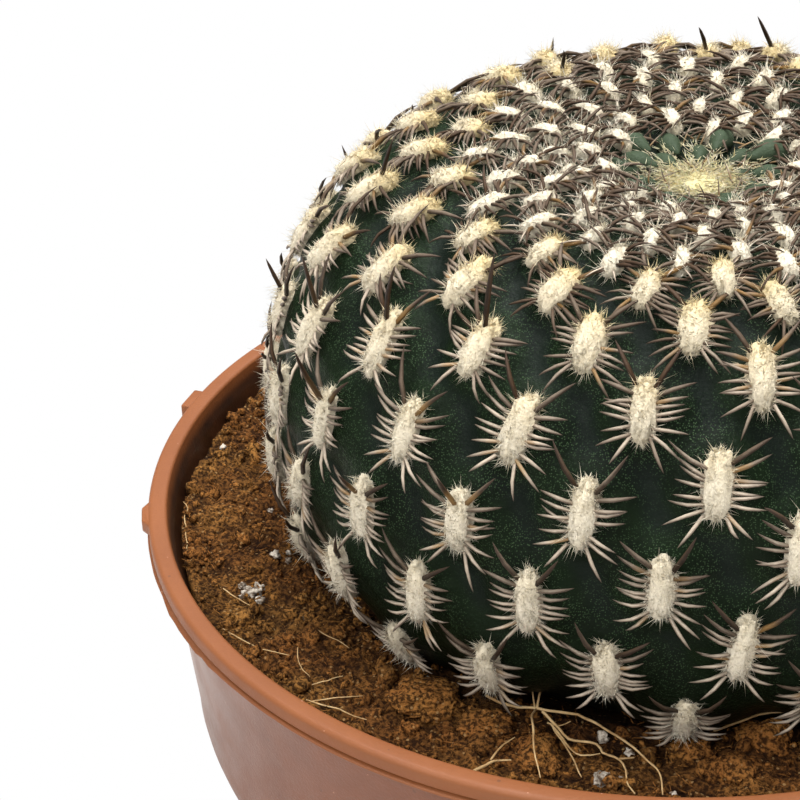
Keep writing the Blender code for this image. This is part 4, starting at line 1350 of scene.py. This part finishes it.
def perlite_material():
    """Porous white mineral with grey pits."""
    look = Look("perlite_porous", 0.8, 0.3)
    colour = look.mix(look.mask(1300.0, 0.38, 0.6), (0.12, 0.08, 0.05), (0.60, 0.53, 0.44))
    return look.done(colour, look.grain(1500.0, 0.0004))


# Stage

CAMERA_DISTANCE = 264.3 * MM
CAMERA_RAISE = math.radians(32.45)
CAMERA_PITCH = math.radians(30.45)
CAMERA_YAW = math.radians(8.22)
CAMERA_ROLL = math.radians(-1.6)
LAMP_TARGET = Vector((0.0, 0.0, 0.05))
WHITE = (1.0, 1.0, 1.0)
FLOOR_COLOUR = (0.62, 0.60, 0.58)
SKY_LEVEL = 0.28
SKY_ABOVE = 0.5


def make_camera():
    data = bpy.data.cameras.new("camera")
    data.lens = 90.0
    data.sensor_width = 36.0
    data.clip_start = 0.01
    data.clip_end = 10.0
    camera = add_object("camera", data)
    back = CAMERA_DISTANCE * math.cos(CAMERA_RAISE)
    camera.location = (0.0, -back, POT_HEIGHT + CAMERA_DISTANCE * math.sin(CAMERA_RAISE))
    turn = Matrix.Rotation(CAMERA_YAW, 3, "Z") @ Matrix.Rotation(math.pi / 2 - CAMERA_PITCH, 3, "X")
    camera.rotation_euler = (turn @ Matrix.Rotation(CAMERA_ROLL, 3, "Z")).to_euler()
    bpy.context.scene.camera = camera


def make_light(name, place, size, energy):
    data = bpy.data.lights.new(name, "AREA")
    data.shape = "DISK"
    data.size = size
    data.energy = energy
    lamp = add_object(name, data)
    lamp.location = place
    lamp.rotation_euler = (LAMP_TARGET - Vector(place)).to_track_quat("-Z", "Y").to_euler()


def white_to_camera(nodes, kind, lit, output):
    """Plain white for the camera's own rays, and the lit shader for all others."""
    white = nodes.add(kind, {"Color": WHITE, "Strength": 1.0})[0]
    seen = nodes.add("ShaderNodeLightPath")["Is Camera Ray"]
    surface = nodes.add("ShaderNodeMixShader", {0: seen, 1: lit, 2: white})[0]
    nodes.put(surface, nodes.tree.nodes[output].inputs["Surface"])


def make_floor():
    form = new_form(bmesh.ops.create_grid, x_segments=1, y_segments=1, size=6.0)
    floor = add_object("floor", mesh_from(form, "floor"))
    look = Look("pale_floor", 0.9, 0.1)
    look.put(FLOOR_COLOUR, look.shader.inputs["Base Color"])
    white_to_camera(look, "ShaderNodeEmission", look.shader.outputs[0], "Material Output")
    floor.data.materials.append(look.material)


def make_surrounding():
    """A white surrounding that lights softly, a little more from above."""
    world = bpy.data.worlds.new("white_surrounding")
    world.use_nodes = True
    bpy.context.scene.world = world
    nodes = Nodes(world.node_tree)
    sky = nodes.tree.nodes["Background"]
    nodes.put(WHITE, sky.inputs["Color"])
    height = nodes.ramp(nodes.parts(nodes.place("Generated"))["Z"], -0.1, 0.8)
    nodes.put(nodes.plus(nodes.times(height, SKY_ABOVE), SKY_LEVEL), sky.inputs["Strength"])
    white_to_camera(nodes, "ShaderNodeBackground", sky.outputs[0], "World Output")


def make_stage():
    """A white floor, a white surrounding and two large lamps."""
    make_floor()
    make_surrounding()
    make_light("overhead", (0.05, 0.15, 1.0), 0.8, 16.0)
    make_light("window", (-0.5, -0.85, 0.9), 0.7, 9.0)
    bpy.context.scene.view_settings.view_transform = "Standard"
    bpy.context.scene.view_settings.look = "None"


def main():
    skin = skin_material()
    wool = wool_material()
    horn = spine_material()
    coir = coir_material()
    make_body(skin)
    old = np.flatnonzero(AREOLES.old)
    young = np.flatnonzero(~AREOLES.old)
    make_pads("old_pads", old, 3, wool)
    make_pads("young_pads", young, 2, wool)
    low = old[AREOLES.arc[old] > LOWER_FLANK_ARC]
    high = old[AREOLES.arc[old] <= LOWER_FLANK_ARC]
    make_wool_hair("lower_pad_hair", low, OLD_HAIRS, 1.0, 6, wool)
    make_wool_hair("upper_pad_hair", high, OLD_HAIRS, 1.0, 9, wool)
    make_wool_hair("crown_hair", young, YOUNG_HAIRS, 1.25, 7, wool)
    make_spines(horn)
    make_crown_tubercles(skin)
    make_crown_mound(wool)
    make_crown_wool(wool)
    make_new_spines(horn)
    make_pot(plastic_material())
    make_soil(coir)
    make_crumbs("small_crumbs", 2200, 0.18, 0.55, 1, 41, coir)
    make_crumbs("large_crumbs", 420, 0.4, 1.3, 2, 43, coir)
    make_clumps(coir)
    make_coir_fibres(coir)
    make_roots(root_material())
    make_perlite(perlite_material())
    make_camera()
    make_stage()


main()
